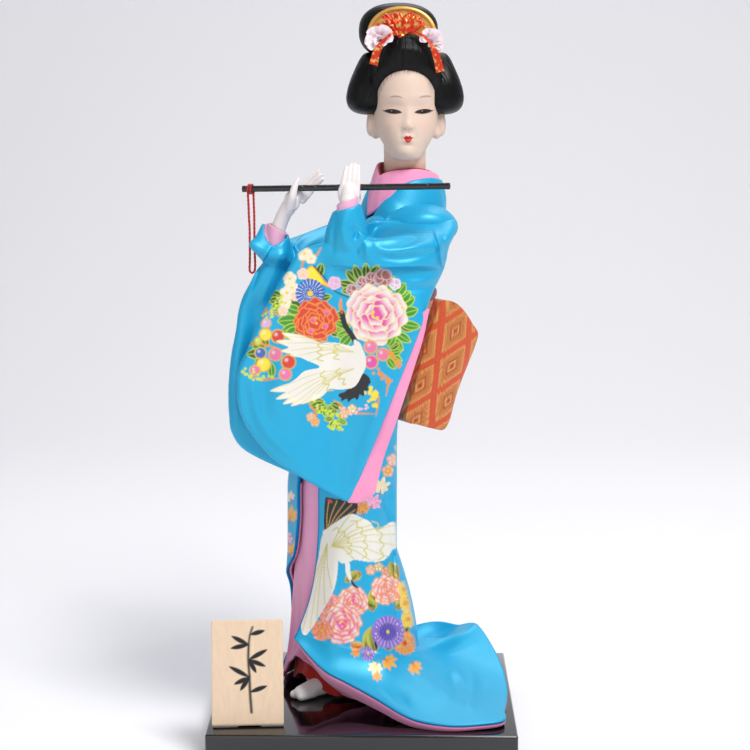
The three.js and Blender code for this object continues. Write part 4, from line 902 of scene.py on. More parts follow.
def skirtColumns(along, share):
    drift = smooth(0.7, 1.7, along)
    behind = skirtSet["fallBack"] * smooth(0.98, 1.25, along) * smooth(2.3, 1.5, along)
    right = mix(*skirtSet["rightEdge"], drift) - behind
    return mix(mix(*skirtSet["leftEdge"], drift), 360 + right, share)


def rolledSheet(face, depth, strip=2):
    # an open face whose rims turn under by the cloth's thickness, with its front first
    n, m = face.shape[:2]
    flatFace = face.reshape(-1, 3)
    flatNormal = gridNormals(face).reshape(-1, 3)
    points = [flatFace]
    faces = [list(f) for f in gridFaces(n, m)]
    start = n * m
    index = np.arange(n * m).reshape(n, m)
    for rim, inner in ((index[:, 0], index[:, strip]), (index[:, -1], index[:, -1 - strip]),
                       (index[0], index[strip]), (index[-1], index[-1 - strip])):
        under = flatFace[rim] - depth * flatNormal[rim]
        back = flatFace[inner] - depth * flatNormal[inner]
        count = len(rim)
        points += [under, back]
        for k in range(count - 1):
            faces.append([rim[k], rim[k + 1], start + k + 1, start + k])
            faces.append([start + k, start + k + 1, start + count + k + 1, start + count + k])
        start += 2 * count
    return np.vstack(points), faces


alongGrid = np.linspace(0, 2, skirtSet["rows"])[:, None]
columns = np.concatenate([np.linspace(0, 0.34, 240, endpoint=False), np.linspace(0.34, 1, 150)])[None]
skirtAngle = skirtColumns(alongGrid, columns)
skirtFace = kimonoSkirt(skirtAngle, alongGrid)
skirtSpots = pictured(skirtFace.reshape(-1, 3))
skirtSeen = gridNormals(skirtFace).reshape(-1, 3) @ viewerWay
# the grid's normals may point inwards
skirtFlip = -1 if skirtSeen.reshape(skirtFace.shape[:2])[60, 100] < 0 else 1
skirtSeen = skirtFlip * skirtSeen
skirtFolds = [
    ("ridge", [(478, 625), (460, 635), (440, 645), (415, 653)], 2.4, 4.5),
    ("ridge", [(470, 616), (452, 625), (432, 634)], -1.6, 6),
    ("ridge", [(478, 640), (458, 650), (440, 657)], -1.0, 6),
    ("ridge", [(414, 656), (440, 666), (460, 678), (466, 704)], 1.5, 4.5),
    ("ridge", [(448, 672), (457, 686), (459, 702)], -2.2, 6),
    ("ridge", [(472, 674), (472, 690), (469, 708)], 1.6, 4),
    ("ridge", [(484, 680), (483, 696), (478, 712)], -0.9, 5),
    ("ridge", [(440, 682), (420, 694), (405, 702)], 0.7, 8),
    ("tuck", [(304, 634), (330, 643), (372, 652), (412, 656)], 0.8, 6),
    ("ridge", [(345, 500), (338, 560), (332, 620)], 0.6, 7),
    ("ridge", [(372, 500), (368, 560), (380, 630)], -0.6, 6),
    ("tuck", [(398, 640), (396, 580), (391, 510)], 0.8, 5),
    ("ridge", [(408, 640), (404, 600), (398, 560)], -0.7, 4),
    ("ridge", [(393, 486), (389, 502), (395, 520)], -2.0, 6),
]
skirtPush = foldHeight(skirtSpots, skirtFolds) * np.clip(skirtSeen * 2, 0, 1)
skirtFace += (skirtFlip * skirtPush.reshape(skirtFace.shape[:2]))[..., None] * gridNormals(skirtFace)
skirtCanvas = newCanvas(skirtSpots, shades["satin"])
skirtSide = (skirtAngle.ravel() + 70) % 360 - 70
# no print where the cloth turns away
skirtCanvas["open"] = smooth(0.08, 0.3, skirtSeen) * smooth(140, 118, skirtSide)


def paintSkirt(c):
    # leaves and small blossoms first
    for tail, tip, wide, ink in (((372, 612), (374, 588), 6, "moss"), ((366, 650), (374, 626), 7, "forest"),
                                 ((362, 600), (378, 606), 5, "moss"), ((398, 580), (390, 562), 6, "olive"),
                                 ((400, 640), (410, 622), 4, "dark"), ((376, 652), (370, 630), 6, "dark"),
                                 ((350, 646), (364, 645), 4, "red"), ((396, 610), (410, 590), 5, "moss"),
                                 ((318, 600), (324, 588), 5, "forest"), ((362, 574), (350, 577), 5, "olive"),
                                 ((345, 582), (358, 572), 5, "olive"), ((384, 640), (392, 650), 5, "moss")):
        paintLeaf(c, tail, tip, wide, ink, "gold", True, 0.7, "lime")
    for spot, size, ink in (((393, 460), 6, "blush"), ((388, 471), 5.5, "orange"),
            ((399, 448), 4.5, "white"), ((371, 570), 4.6, "blush"), ((379, 567), 4.2, "white"),
            ((386, 572), 4.6, "rose")):
        paintPlum(c, spot, size, ink, "gold")
    paintMaple(c, (362, 510), 12, 100, "red")
    paintMaple(c, (373, 504), 11, 60, "magenta", "blush")
    paintMaple(c, (381, 489), 13, 75, "yellow", "white")
    paintPeony(c, (387, 590), 15, "rose", "white", "orange", 7, (0.0, 0.92))
    paintPeony(c, (330, 608), 14, "magenta", "blush", "orange", 8, (0.0, 0.92))
    paintPeony(c, (353, 602), 15, "magenta", "white", "orange", 4, (0.0, 0.92))
    paintPeony(c, (342, 624), 20, "magenta", "white", "orange", 5, (0.1, 0.96))
    paintPeony(c, (322, 630), 10, "red", "blush", "orange", 6, (0.0, 0.92))
    for spot in ((405, 589), (407, 603), (409, 619)):
        paintMum(c, spot, 8.5, "yellow", "orange", "orange", 14)
    paintMum(c, (405, 643), 12, "orange", "yellow", "red", 16)
    paintMum(c, (388, 632), 17, "violet", "blush", "yellow", 22)
    paintMum(c, (388, 632), 9, "purple", "violet", "yellow", 16)
    # crane: dark tail, left wing hanging, right wing spread, feather lines, neck and beak
    paintShape(c, [(325, 500), (330, 498), (345, 500), (357, 503), (355, 515), (343, 522), (335, 528),
        (325, 535)], "black")
    for tip in ((329, 500), (337, 501), (345, 502), (352, 504), (355, 510)):
        paintQuill(c, (327, 533), tip, (-1, -1), 0.4, "gold", 0.6)
    paintStroke(c, [(328, 500), (332, 502)], 1.4, "red")
    paintShape(c, [(323, 535), (335, 548), (338, 565), (334, 590), (322, 612), (306, 635), (301, 625),
        (305, 600), (312, 580), (318, 560)], "white")
    paintShape(c, [(323, 535), (328, 528), (336, 522), (345, 516), (353, 514), (362, 518), (370, 522),
        (377, 530), (386, 525), (394, 522), (401, 528), (400, 540), (393, 550), (384, 560), (370, 562),
        (355, 560), (340, 562)], "white")
    for tip in ((303, 630), (310, 628), (317, 618), (325, 604), (332, 588), (305, 612)):
        paintQuill(c, (327, 544), tip, (-2, 0), 0.62, "straw")
    for tip in ((350, 515), (362, 519), (372, 525), (384, 528), (396, 525), (400, 534), (396, 545),
            (386, 556), (370, 560), (354, 559)):
        paintQuill(c, (332, 546), tip, (0, -4), 0.62, "straw")
    for reach, low, high, count in ((18, -20, 80, 5), (34, -18, 52, 5), (50, -14, 32, 4)):
        paintScallops(c, (330, 548), reach, low, high, count, 4)
    paintStroke(c, [(340, 556), (347, 563), (348, 572), (351, 581)], 2.4, "white")
    paintStroke(c, [(351, 580), (354, 585), (358, 588)], 1.2, "dark")
    # maple leaves along the hem and down the front edge
    for spot, size, turn, ink, line in (((357, 652), 7, 200, "yellow", "orange"),
            ((376, 666), 10, 250, "white", "yellow"), ((387, 661), 11, 330, "yellow", "orange"),
            ((377, 675), 7, 270, "yellow", "orange"), ((414, 666), 10, 300, "yellow", "orange"),
            ((290, 517), 12, 80, "yellow", "orange"), ((289, 537), 9, 200, "magenta", "blush"),
            ((293, 552), 12, 40, "yellow", "orange"), ((290, 498), 8, 120, "orange", "white"),
            ((292, 572), 8, 60, "blush", "white")):
        paintMaple(c, spot, size, turn, ink, line)
    paintMum(c, (368, 654), 7, "violet", "blush", "yellow", 12)


paintSkirt(skirtCanvas)
skirtEdge = np.minimum(columns, 1 - columns) + 0 * alongGrid
piping = smooth(skirtSet["piping"], skirtSet["piping"] * 0.5, skirtEdge).ravel()
skirtCanvas["color"] = mix(skirtCanvas["color"], linear(*skirtSet["pipingShade"]), piping[:, None])
skirtShell = rolledSheet(skirtFace, skirtFlip * bodySet["satin"])
rimCount = len(skirtShell[0]) - len(skirtCanvas["color"])
skirtPaint = np.vstack([skirtCanvas["color"], np.tile(linear(*skirtSet["rimShade"]), (rimCount, 1))])
skirtGilt = np.concatenate([skirtCanvas["gold"], np.zeros(rimCount)])
skirtPiece = makePiece("kimono_skirt_cloth", skirtShell, "doll", finishes["satin"],
    "kimono_skirt", skirtPaint, skirtGilt)


# Padded lining that shows below the hem
liningSet = {"depth": 1.4, "cloth": 0.8, "show": 1.3, "front": (4.8, 56, 26), "columns": 300,
             "low": (224, 138, 182), "high": (238, 164, 204)}  # front: more show, at an angle, how wide; low is the pink in painted shade at the hem, high the pink higher up
liningAlong = np.concatenate([np.linspace(0.55, 1.9, 90), np.linspace(1.91, 2, 14)])[:, None]
liningColumns = np.linspace(0.004, 0.996, liningSet["columns"])[None]
liningFace = kimonoSkirt(skirtColumns(liningAlong, liningColumns), liningAlong)
liningAngle = skirtColumns(np.array([[2.0]]), liningColumns)[0]
liningNormal = gridNormals(liningFace) * skirtFlip
liningSpots = pictured(liningFace.reshape(-1, 3))
liningSeen = np.clip(2 * (liningNormal.reshape(-1, 3) @ viewerWay), 0, 1)
liningPush = np.minimum(0, foldHeight(liningSpots, skirtFolds)) * liningSeen
liningFace += liningPush.reshape(liningFace.shape[:2])[..., None] * liningNormal
liningSheet = liningFace - liningSet["depth"] * liningNormal
frontShow, frontAt, frontWide = liningSet["front"]
liningShow = liningSet["show"] + frontShow * bump(liningAngle, frontAt, frontWide)[:, None]
liningOut = np.stack([*toward(liningAngle), np.zeros(liningSet["columns"])], axis=-1)
liningSteps = np.linspace(0, 1, 14)[1:]
drops = [liningSheet[-1] - liningShow * t * np.array((0, 0, 1.0))
         - liningOut * (0.9 * t * t * liningShow - 0.5 * t) for t in liningSteps]
liningOuter = np.concatenate([liningSheet, np.array(drops)], axis=0)
liningShell = rolledSheet(liningOuter, skirtFlip * liningSet["cloth"])


def risingShade(shell, low, high, fromRise, toRise):
    share = smooth(fromRise, toRise, shell[0][:, 2] - deck)
    return mix(linear(*low), linear(*high), share[:, None])


# painted shade: the lining's pink darkens towards the hem, where it sits in the skirt's shadow
liningShadedPaint = risingShade(liningShell, liningSet["low"], liningSet["high"], 4, 22)
liningPiece = makePiece("skirt_lining_cloth", liningShell, "doll", finishes["pink"],
    "skirt_lining", liningShadedPaint)


innerSet = {"ease": 1.0, "cloth": 0.8, "wave": 0.35, "grid": (170, 220)}
underSet = {"top": 126, "radius": 19.6, "folds": 0.4, "opening": (17, 12, 62), "reach": 27.5, "inside": 3.5,
            "low": (226, 140, 184), "high": (248, 172, 208)}
redSet = {"top": 74, "radius": 17.4, "folds": 0.3, "opening": (7, 0, 50), "reach": 21}


def innerSkirt(settings, reach):
    n, m = innerSet["grid"]
    top, radius, cloth = settings["top"], settings["radius"], innerSet["cloth"]
    along = np.linspace(0, 2, n)[:, None]
    angle = np.linspace(0, 360, m, endpoint=False)[None]
    waist = np.minimum(rows(bodySet["rows"], top, 1) + innerSet["ease"], radius - cloth)
    hem = footHem(angle, *settings["opening"])
    face = flared(angle, along, top, waist, radius, settings["folds"], reach(angle), hem)
    normal = gridNormals(face, wrapM=True)
    if (normal[n // 2, 0] @ np.array((*toward(0), 0))) < 0:
        normal = -normal
    wave = np.sin(np.radians(angle * 17) + 2 * np.sin(along * 3)) * smooth(0.6, 1.8, along)
    face = face + normal * (innerSet["wave"] * wave)[..., None]
    return sheetShell(face.transpose(1, 0, 2), (face - cloth * normal).transpose(1, 0, 2), wrapN=True)


def underReach(angle):
    return np.minimum(underSet["reach"], rows(reachRows, angle) - underSet["inside"])


def redReach(angle):
    return redSet["reach"] + 0 * angle


underShell = innerSkirt(underSet, underReach)
underPaint = risingShade(underShell, underSet["low"], underSet["high"], 18, 62)
underPiece = makePiece("under_skirt_cloth", underShell, "doll", finishes["pink"],
    "under_skirt", underPaint)
redPiece = makePiece("red_skirt_cloth", innerSkirt(redSet, redReach), "doll", finishes["red"],
                     "red_skirt")
print("skirts done")


# Kimono body with its shoulder folds

def pillow(table, front, rear, n, m):
    # closed rounded panel between a front and a rear depth, from rows of (z, left, right)
    z = np.linspace(table[0][0], table[-1][0], n)[:, None]
    left = rows(table, z, 1)
    right = rows(table, z, 2)
    x = left + (right - left) * (0.5 - 0.5 * np.cos(np.pi * np.linspace(0, 1, m)))[None]
    near = front(x, z)
    far = rear(x, z)
    half = (far - near) / 2
    edge = np.clip(np.minimum(x - left, right - x) / np.maximum(1.1 * half, 0.8), 0, 1)
    arch = np.sqrt(1 - (1 - edge) ** 2)
    frontLine = np.stack([x, (near + far) / 2 - half * arch, z + 0 * x], axis=-1)
    rearLine = np.stack([x, (near + far) / 2 + half * arch, z + 0 * x], axis=-1)
    return tubeShell(np.concatenate([frontLine, rearLine[:, -2:0:-1]], axis=1))


def foldCloth(points, faces, folds, seenFrom=(0, -1, 0.1)):
    # pushes the cloth along the view where it faces that way
    normal = pointNormals(points, faces)
    view = np.array(seenFrom) / np.linalg.norm(seenFrom)
    seen = np.clip(normal @ view * 1.6, 0, 1)
    push = foldHeight(pictured(points), folds) * seen
    return points + push[:, None] * mix(normal, view, 0.5), seen


bodiceSet = {"low": 128, "high": 203, "voxel": 0.6, "relax": 36, "softSteps": 150, "yokeFoot": 184.0,
             "yokeIn": 0.4, "lobes": [((23.5, -5.5, 213.3), (14.6, 14.5, 8.8)),
                                      ((30, -6, 212.5), (9, 12, 6.5)),
                       ((1, 21, 211.6), (13, 11.5, 7.8)), ((7, -5, 209), (9, 10, 8.6)),
                       ((18.6, 5, 205), (14.2, 13, 13.5)), ((2.6, 19, 201.5), (13.6, 12.8, 14.2)),
                       ((1, 7, 206.5), (11.5, 13, 9.5))],
             "yoke": [(0, 18, 200), (46, 18, 205.4), (68, 15.6, 205.2), (112, 14.6, 204.2), (145, 15, 204.2),
                      (180, 17.3, 204.8), (215, 16.1, 206.8), (260, 16.1, 208.4), (292, 17.1, 207.8),
                      (312, 17.8, 204.8), (360, 18, 200)]}
bodiceEase = bodySet["bodiceEase"] + bodySet["satin"]
bodiceTube = bodyTube(bodiceSet["low"], bodiceSet["high"], bodiceEase, 110, 120)
yokeTurn = np.linspace(0, 360, 120, endpoint=False)
yokeX, yokeY = toward(yokeTurn)
yokeReach = rows(bodiceSet["yoke"], yokeTurn, 1)
yokeRise = rows(bodiceSet["yoke"], yokeTurn, 2)
yokeTop = np.stack([neck[0] + yokeReach * yokeX, stand[1] + yokeReach * yokeY, deck + yokeRise], axis=-1)
yokeFoot = bodyRing(np.full(120, bodiceSet["yokeFoot"]), yokeTurn, bodiceEase - bodiceSet["yokeIn"])
yokeTube = np.array([mix(yokeFoot, yokeTop, t) for t in np.linspace(0, 1, 24)])
bodiceShells = [tubeShell(bodiceTube), tubeShell(yokeTube)] + [eggShell(m, h) for m, h in bodiceSet["lobes"]]
bodicePoints, bodiceFaces = remeshed(*joinShells(bodiceShells), bodiceSet["voxel"], bodiceSet["relax"])
bodiceFacing = pointNormals(bodicePoints, bodiceFaces) @ viewerWay
bodiceSoft = smooth(0.1, -0.3, bodiceFacing) * smooth(216, 211, bodicePoints[:, 2])  # the back is smoother
bodicePoints = relaxed(bodicePoints, bodiceFaces, bodiceSet["softSteps"], 0.5, bodiceSoft)
bodiceFolds = [
    ("tuck", [(374, 241), (383, 224), (394, 211), (407, 204)], 2.2, 6),
    ("ridge", [(410, 205), (424, 203), (442, 206)], -0.8, 2.6),
    ("ridge", [(412, 214), (430, 214), (450, 219)], 0.8, 5),
    ("ridge", [(396, 229), (416, 226), (440, 227)], -0.9, 4),
    ("ridge", [(367, 212), (369, 224), (366, 236)], -0.8, 3),
]
bodicePoints, _ = foldCloth(bodicePoints, bodiceFaces, bodiceFolds)
bodicePaint = newCanvas(bodicePoints[:, :2], shades["satin"])["color"]
bodicePiece = makePiece("kimono_body", (bodicePoints, bodiceFaces), "doll",
    finishes["satin"], "kimono_bodice", bodicePaint, np.zeros(len(bodicePoints)))

# Collars: bands round the neck between an upper and a lower edge of (angle, reach, height) points
collarSet = {
    "kimonoTop": [(2, 18.4, 172), (3, 18.8, 186), (4, 18.9, 196), (9, 18.2, 203.4), (20, 16.8, 208.4),
                  (36, 15, 212.8), (55, 13.7, 216.2), (80, 13.2, 217.6), (110, 13.4, 217.8),
                  (145, 14.8, 216.4), (180, 15.4, 215), (215, 14.6, 217), (260, 13.2, 219.2),
                  (300, 13.2, 219), (325, 14.4, 215.4), (340, 16.2, 210.6), (350, 17.6, 204),
                  (352, 17.8, 196), (352, 17.4, 182)],
    "kimonoLow": [(24, 18.9, 171), (27, 19.6, 185), (31, 20.2, 196), (38, 20.2, 202.6), (46, 19.2, 204.6),
                  (56, 17.8, 204.8), (68, 16.8, 204.4), (88, 16, 203.8), (112, 15.8, 203.4),
                  (145, 16.2, 203.4), (180, 18.6, 204), (215, 17.4, 206), (260, 17.4, 207.6),
                  (292, 18.4, 207), (312, 19, 204), (326, 19, 198), (332, 18.6, 192), (334, 18.2, 186),
                  (335, 18, 178)],
    "underTop": [(-4, 14.2, 217.4), (4, 13.9, 218.8), (14, 13.3, 219.9), (25, 12.6, 220.8), (38, 12, 221.3),
                 (55, 11.5, 221.5), (80, 11.4, 221.6), (110, 12, 220.6), (145, 13.3, 218.4),
                 (180, 14, 217.8), (215, 13.5, 219.4), (260, 12, 222.2), (300, 11.5, 223.2),
                 (325, 11.8, 223), (342, 12.4, 221.8), (354, 13.2, 220), (362, 13.6, 218)],
    "underLow": [(-3, 18.4, 202.6), (6, 18.2, 204), (16, 17.6, 206.4), (27, 16.6, 209), (40, 15.2, 211),
                 (56, 14, 212.4), (80, 13.2, 212.6), (110, 13.6, 211.8), (145, 14.8, 209.6),
                 (180, 15.4, 209), (215, 15, 210.4), (260, 13.6, 213), (300, 13.4, 213), (322, 15, 210.8),
                 (338, 16.6, 207.4), (349, 17.4, 204.6), (357, 17.8, 202.6)],
    "trimUp": 0.35, "trimIn": 0.75, "trimWide": 2.4,
}


def bandPoint(table, up=0.0):
    angle, reach, rise = np.array(table, float).T
    x, y = toward(angle)
    lean = np.where(rise > bodiceSet["high"], neck[0], axisX(rise))
    return np.stack([lean + reach * x, stand[1] + reach * y, deck + rise + up], axis=1)


def bandGrid(upper, lower, along, across, swell):
    top = throughPoints(upper, along)[:, None]
    low = throughPoints(lower, along)[:, None]
    share = np.linspace(0, 1, across)[None, :, None]
    grid = mix(top, low, share)
    normal = gridNormals(grid)
    middle = np.array((neck[0], stand[1], 0))
    if np.mean(np.sum(normal * (grid - middle) * np.array((1, 1, 0)), axis=-1)) < 0:
        normal = -normal
    return grid + normal * (swell * np.sin(np.pi * share[..., 0]) ** 0.7)[..., None], normal


def collarPiece(name, upper, lower, swell, depth, finish, node, color, along=340):
    face, normal = bandGrid(upper, lower, along, 18, swell)
    wrinkle = 0.12 * waves(np.arange(along) * 0.16, 5, 0.6, 2.2, len(name))[:, None]
    face = face + normal * wrinkle[..., None]
    shell = sheetShell(face, face - depth * normal)
    paint = np.tile(linear(*color), (len(shell[0]), 1))
    return makePiece(name, shell, "doll", finish, node, paint, np.zeros(len(paint)))


kimonoTop = bandPoint(collarSet["kimonoTop"])
kimonoLow = bandPoint(collarSet["kimonoLow"])
collar = collarPiece("kimono_collar_band", kimonoTop, kimonoLow, 0.9, 1.1, finishes["satin"],
    "kimono_collar", shades["satin"])
underTop = bandPoint(collarSet["underTop"])
underLow = bandPoint(collarSet["underLow"])
under = collarPiece("under_collar_band", underTop, underLow, 0.5, 0.9, finishes["pink"],
    "under_collar", shades["pink"])
trimRows = [(a, r - collarSet["trimIn"], h) for a, r, h in collarSet["underTop"]]
trimTop = bandPoint(trimRows, collarSet["trimUp"])
trimLow = bandPoint([(a, r + 0.2, h) for a, r, h in trimRows], collarSet["trimUp"] - collarSet["trimWide"])
trim = collarPiece("collar_trim_band", trimTop, trimLow, 0.2, 0.5, finishes["red"],
    "collar_trim", shades["red"])
print("collars done")

# Left sleeve: the hanging panel, the upper arm and the forearm in one skin
leftSet = {
    "rows": [(105.3, -7.6, -5.0), (107.5, -11.8, -3.6), (109.7, -15.6, -2.8), (115.8, -25.5, -0.3),
             (122.7, -35.8, 2.5), (128.8, -41.4, 5.0), (136.1, -46.5, 7.9), (143.3, -49.2, 10.8),
             (152.6, -49.8, 14.5), (158.6, -49.2, 16.9), (167, -45.3, 20.3), (176.2, -41.7, 23.7),
             (183, -38.2, 26.0), (188.9, -34.9, 28.6), (196, -30.5, 32.4), (201, -27.8, 33.8),
             (204.7, -25.2, 34.4), (207, -22, 35.2), (209.5, -14, 36.4), (213, -5, 37.6), (216, 5, 37.8)],
    "crease": [(-60, 208.5), (3.8, 208.9), (11, 211.4), (19, 213), (29.7, 213.4), (38, 215.8), (60, 216)],
    "arm": [(27, -12, 204.4), (24.5, -20, 204.6), (16, -31, 205.2), (7.5, -35, 204.8), (-1, -35, 206.5)],
    "armRadius": [6.2, 6.4, 6.6, 6.0, 5.4], "panel": (-37.6, -33.4), "voxel": 0.46,
}


def leftSwing(x, z):
    return 0.9 * np.sin((x + 18) * 0.17) * smooth(196, 150, z)


def leftFront(x, z):
    bulge = 2.4 * smooth(198, 204, z) * smooth(-18, -8, x) * (1 - 0.7 * smooth(22, 36, x))
    back = 24 * smooth(-7, 4, z - rows(leftSet["crease"], x)) * smooth(-3, 5, x)
    return leftSet["panel"][0] - bulge + back + leftSwing(x, z)


def leftRear(x, z):
    return leftSet["panel"][1] + 37 * smooth(-10, 18, x) * smooth(177, 197, z) + leftSwing(x, z)


def leftPrinted(middles):
    # the front of the hanging panel, where the print needs a fine mesh
    return (middles[:, 1] < -35.6) & (middles[:, 2] < 201) & (middles[:, 2] > 124)


def armTube(path, radius, count=60):
    share = np.linspace(0, 1, len(radius))
    return sweep(throughPoints(path, count), np.interp(np.linspace(0, 1, count), share, radius), 48)


def loft(rings, samples, count):
    # smooth skin over closed rings of a few points each
    loops = [throughPoints(ring, samples, closed=True) for ring in rings]
    return np.stack([throughPoints([loop[k] for loop in loops], count) for k in range(samples)], axis=1)


def shrunk(ring, by):
    ring = np.array(ring, float)
    away = ring - ring.mean(axis=0)
    away[:, 2] = 0
    return ring - by * away / np.linalg.norm(away, axis=1, keepdims=True)


def mouthCup(rings, wall):
    # end of a sleeve: the outside up to the rim, then the inside back down to a floor
    outside = loft(rings, 72, 40)
    inside = loft([shrunk(ring, wall) for ring in rings[-3:]], 72, 24)
    return tubeShell(np.concatenate([outside, inside[::-1]]))


def slanted(middle, turnWide, low, tilt, points=8):
    # one ring round a middle, its height tilted across x and y
    turn = np.linspace(0, 2 * np.pi, points, endpoint=False)
    x = turnWide[0] * np.cos(turn)
    y = turnWide[1] * np.sin(turn)
    return np.stack([middle[0] + x, middle[1] + y, low + tilt[0] * x + tilt[1] * y], axis=1)


leftMouth = [
    slanted((-3.6, -33), (8.6, 3.6), 199, (0.05, 0)),
    slanted((-5.8, -34.6), (8.8, 6.4), 208.5, (0.1, 0)),
    slanted((-6.2, -35.4), (8.1, 6.8), 214.5, (0.16, 0)),
    slanted((-6.0, -35.8), (6.7, 6.3), 219.5, (0.22, 0)),
    slanted((-5.7, -36), (5.5, 5.6), 222.9, (0.25, 0)),
]
leftShells = [pillow(leftSet["rows"], leftFront, leftRear, 160, 90), mouthCup(leftMouth, 1.1),
              tubeShell(armTube(leftSet["arm"], leftSet["armRadius"]))]
leftPoints, leftFaces = remeshed(*joinShells(leftShells), leftSet["voxel"], 4)
leftPoints, leftFaces = finer(leftPoints, leftFaces, leftPrinted)
leftQuads = np.array([f if len(f) == 4 else f + f[-1:] for f in leftFaces])
leftFolds = [
    ("tuck", [(357, 229), (362, 234), (373, 241), (388, 238), (405, 233.5), (436, 232)], 1.2, 4),
    ("tuck", [(438, 268), (416, 266), (390, 266.5), (366, 267), (338, 266)], 1.8, 6),
    ("ridge", [(372, 246), (388, 251), (408, 248), (430, 243)], 1.3, 4),
    ("ridge", [(380, 256), (400, 259), (424, 255), (438, 250)], -0.9, 3),
    ("ridge", [(352, 226), (357, 233), (354, 240)], -1.6, 2.6),
    ("ridge", [(360, 236), (366, 246), (368, 257)], 1.2, 3.5),
    ("tuck", [(447, 276), (440, 262), (438, 246), (434, 233)], 1.4, 4),
    ("ridge", [(442, 234), (446, 250), (441, 272)], -1.1, 2.5),
    ("ridge", [(336, 214), (333, 232), (333, 252)], -0.8, 3.5),
    ("ridge", [(346, 214), (344, 232), (348, 252)], 0.8, 4.5),
    ("ridge", [(410, 283), (424, 281), (438, 277)], 0.9, 3.5),
    ("ridge", [(404, 290), (420, 289), (436, 286)], -0.7, 3),
    ("ridge", [(323, 262), (321, 285), (317, 310)], -0.8, 4),
    ("ridge", [(298, 290), (285, 350), (272, 430)], 0.9, 10),
    ("ridge", [(345, 300), (335, 380), (325, 470)], -0.8, 12),
    ("ridge", [(404, 285), (384, 390), (356, 484)], 0.9, 8),
    ("ridge", [(250, 372), (262, 424), (300, 464)], 0.9, 6),
    ("ridge", [(400, 270), (392, 300), (372, 330)], -0.7, 6),
]
leftPoints, leftSeen = foldCloth(leftPoints, leftQuads, leftFolds)
leftCanvas = newCanvas(pictured(leftPoints), shades["satin"])
leftCanvas["open"] = smooth(0.15, 0.45, leftSeen)


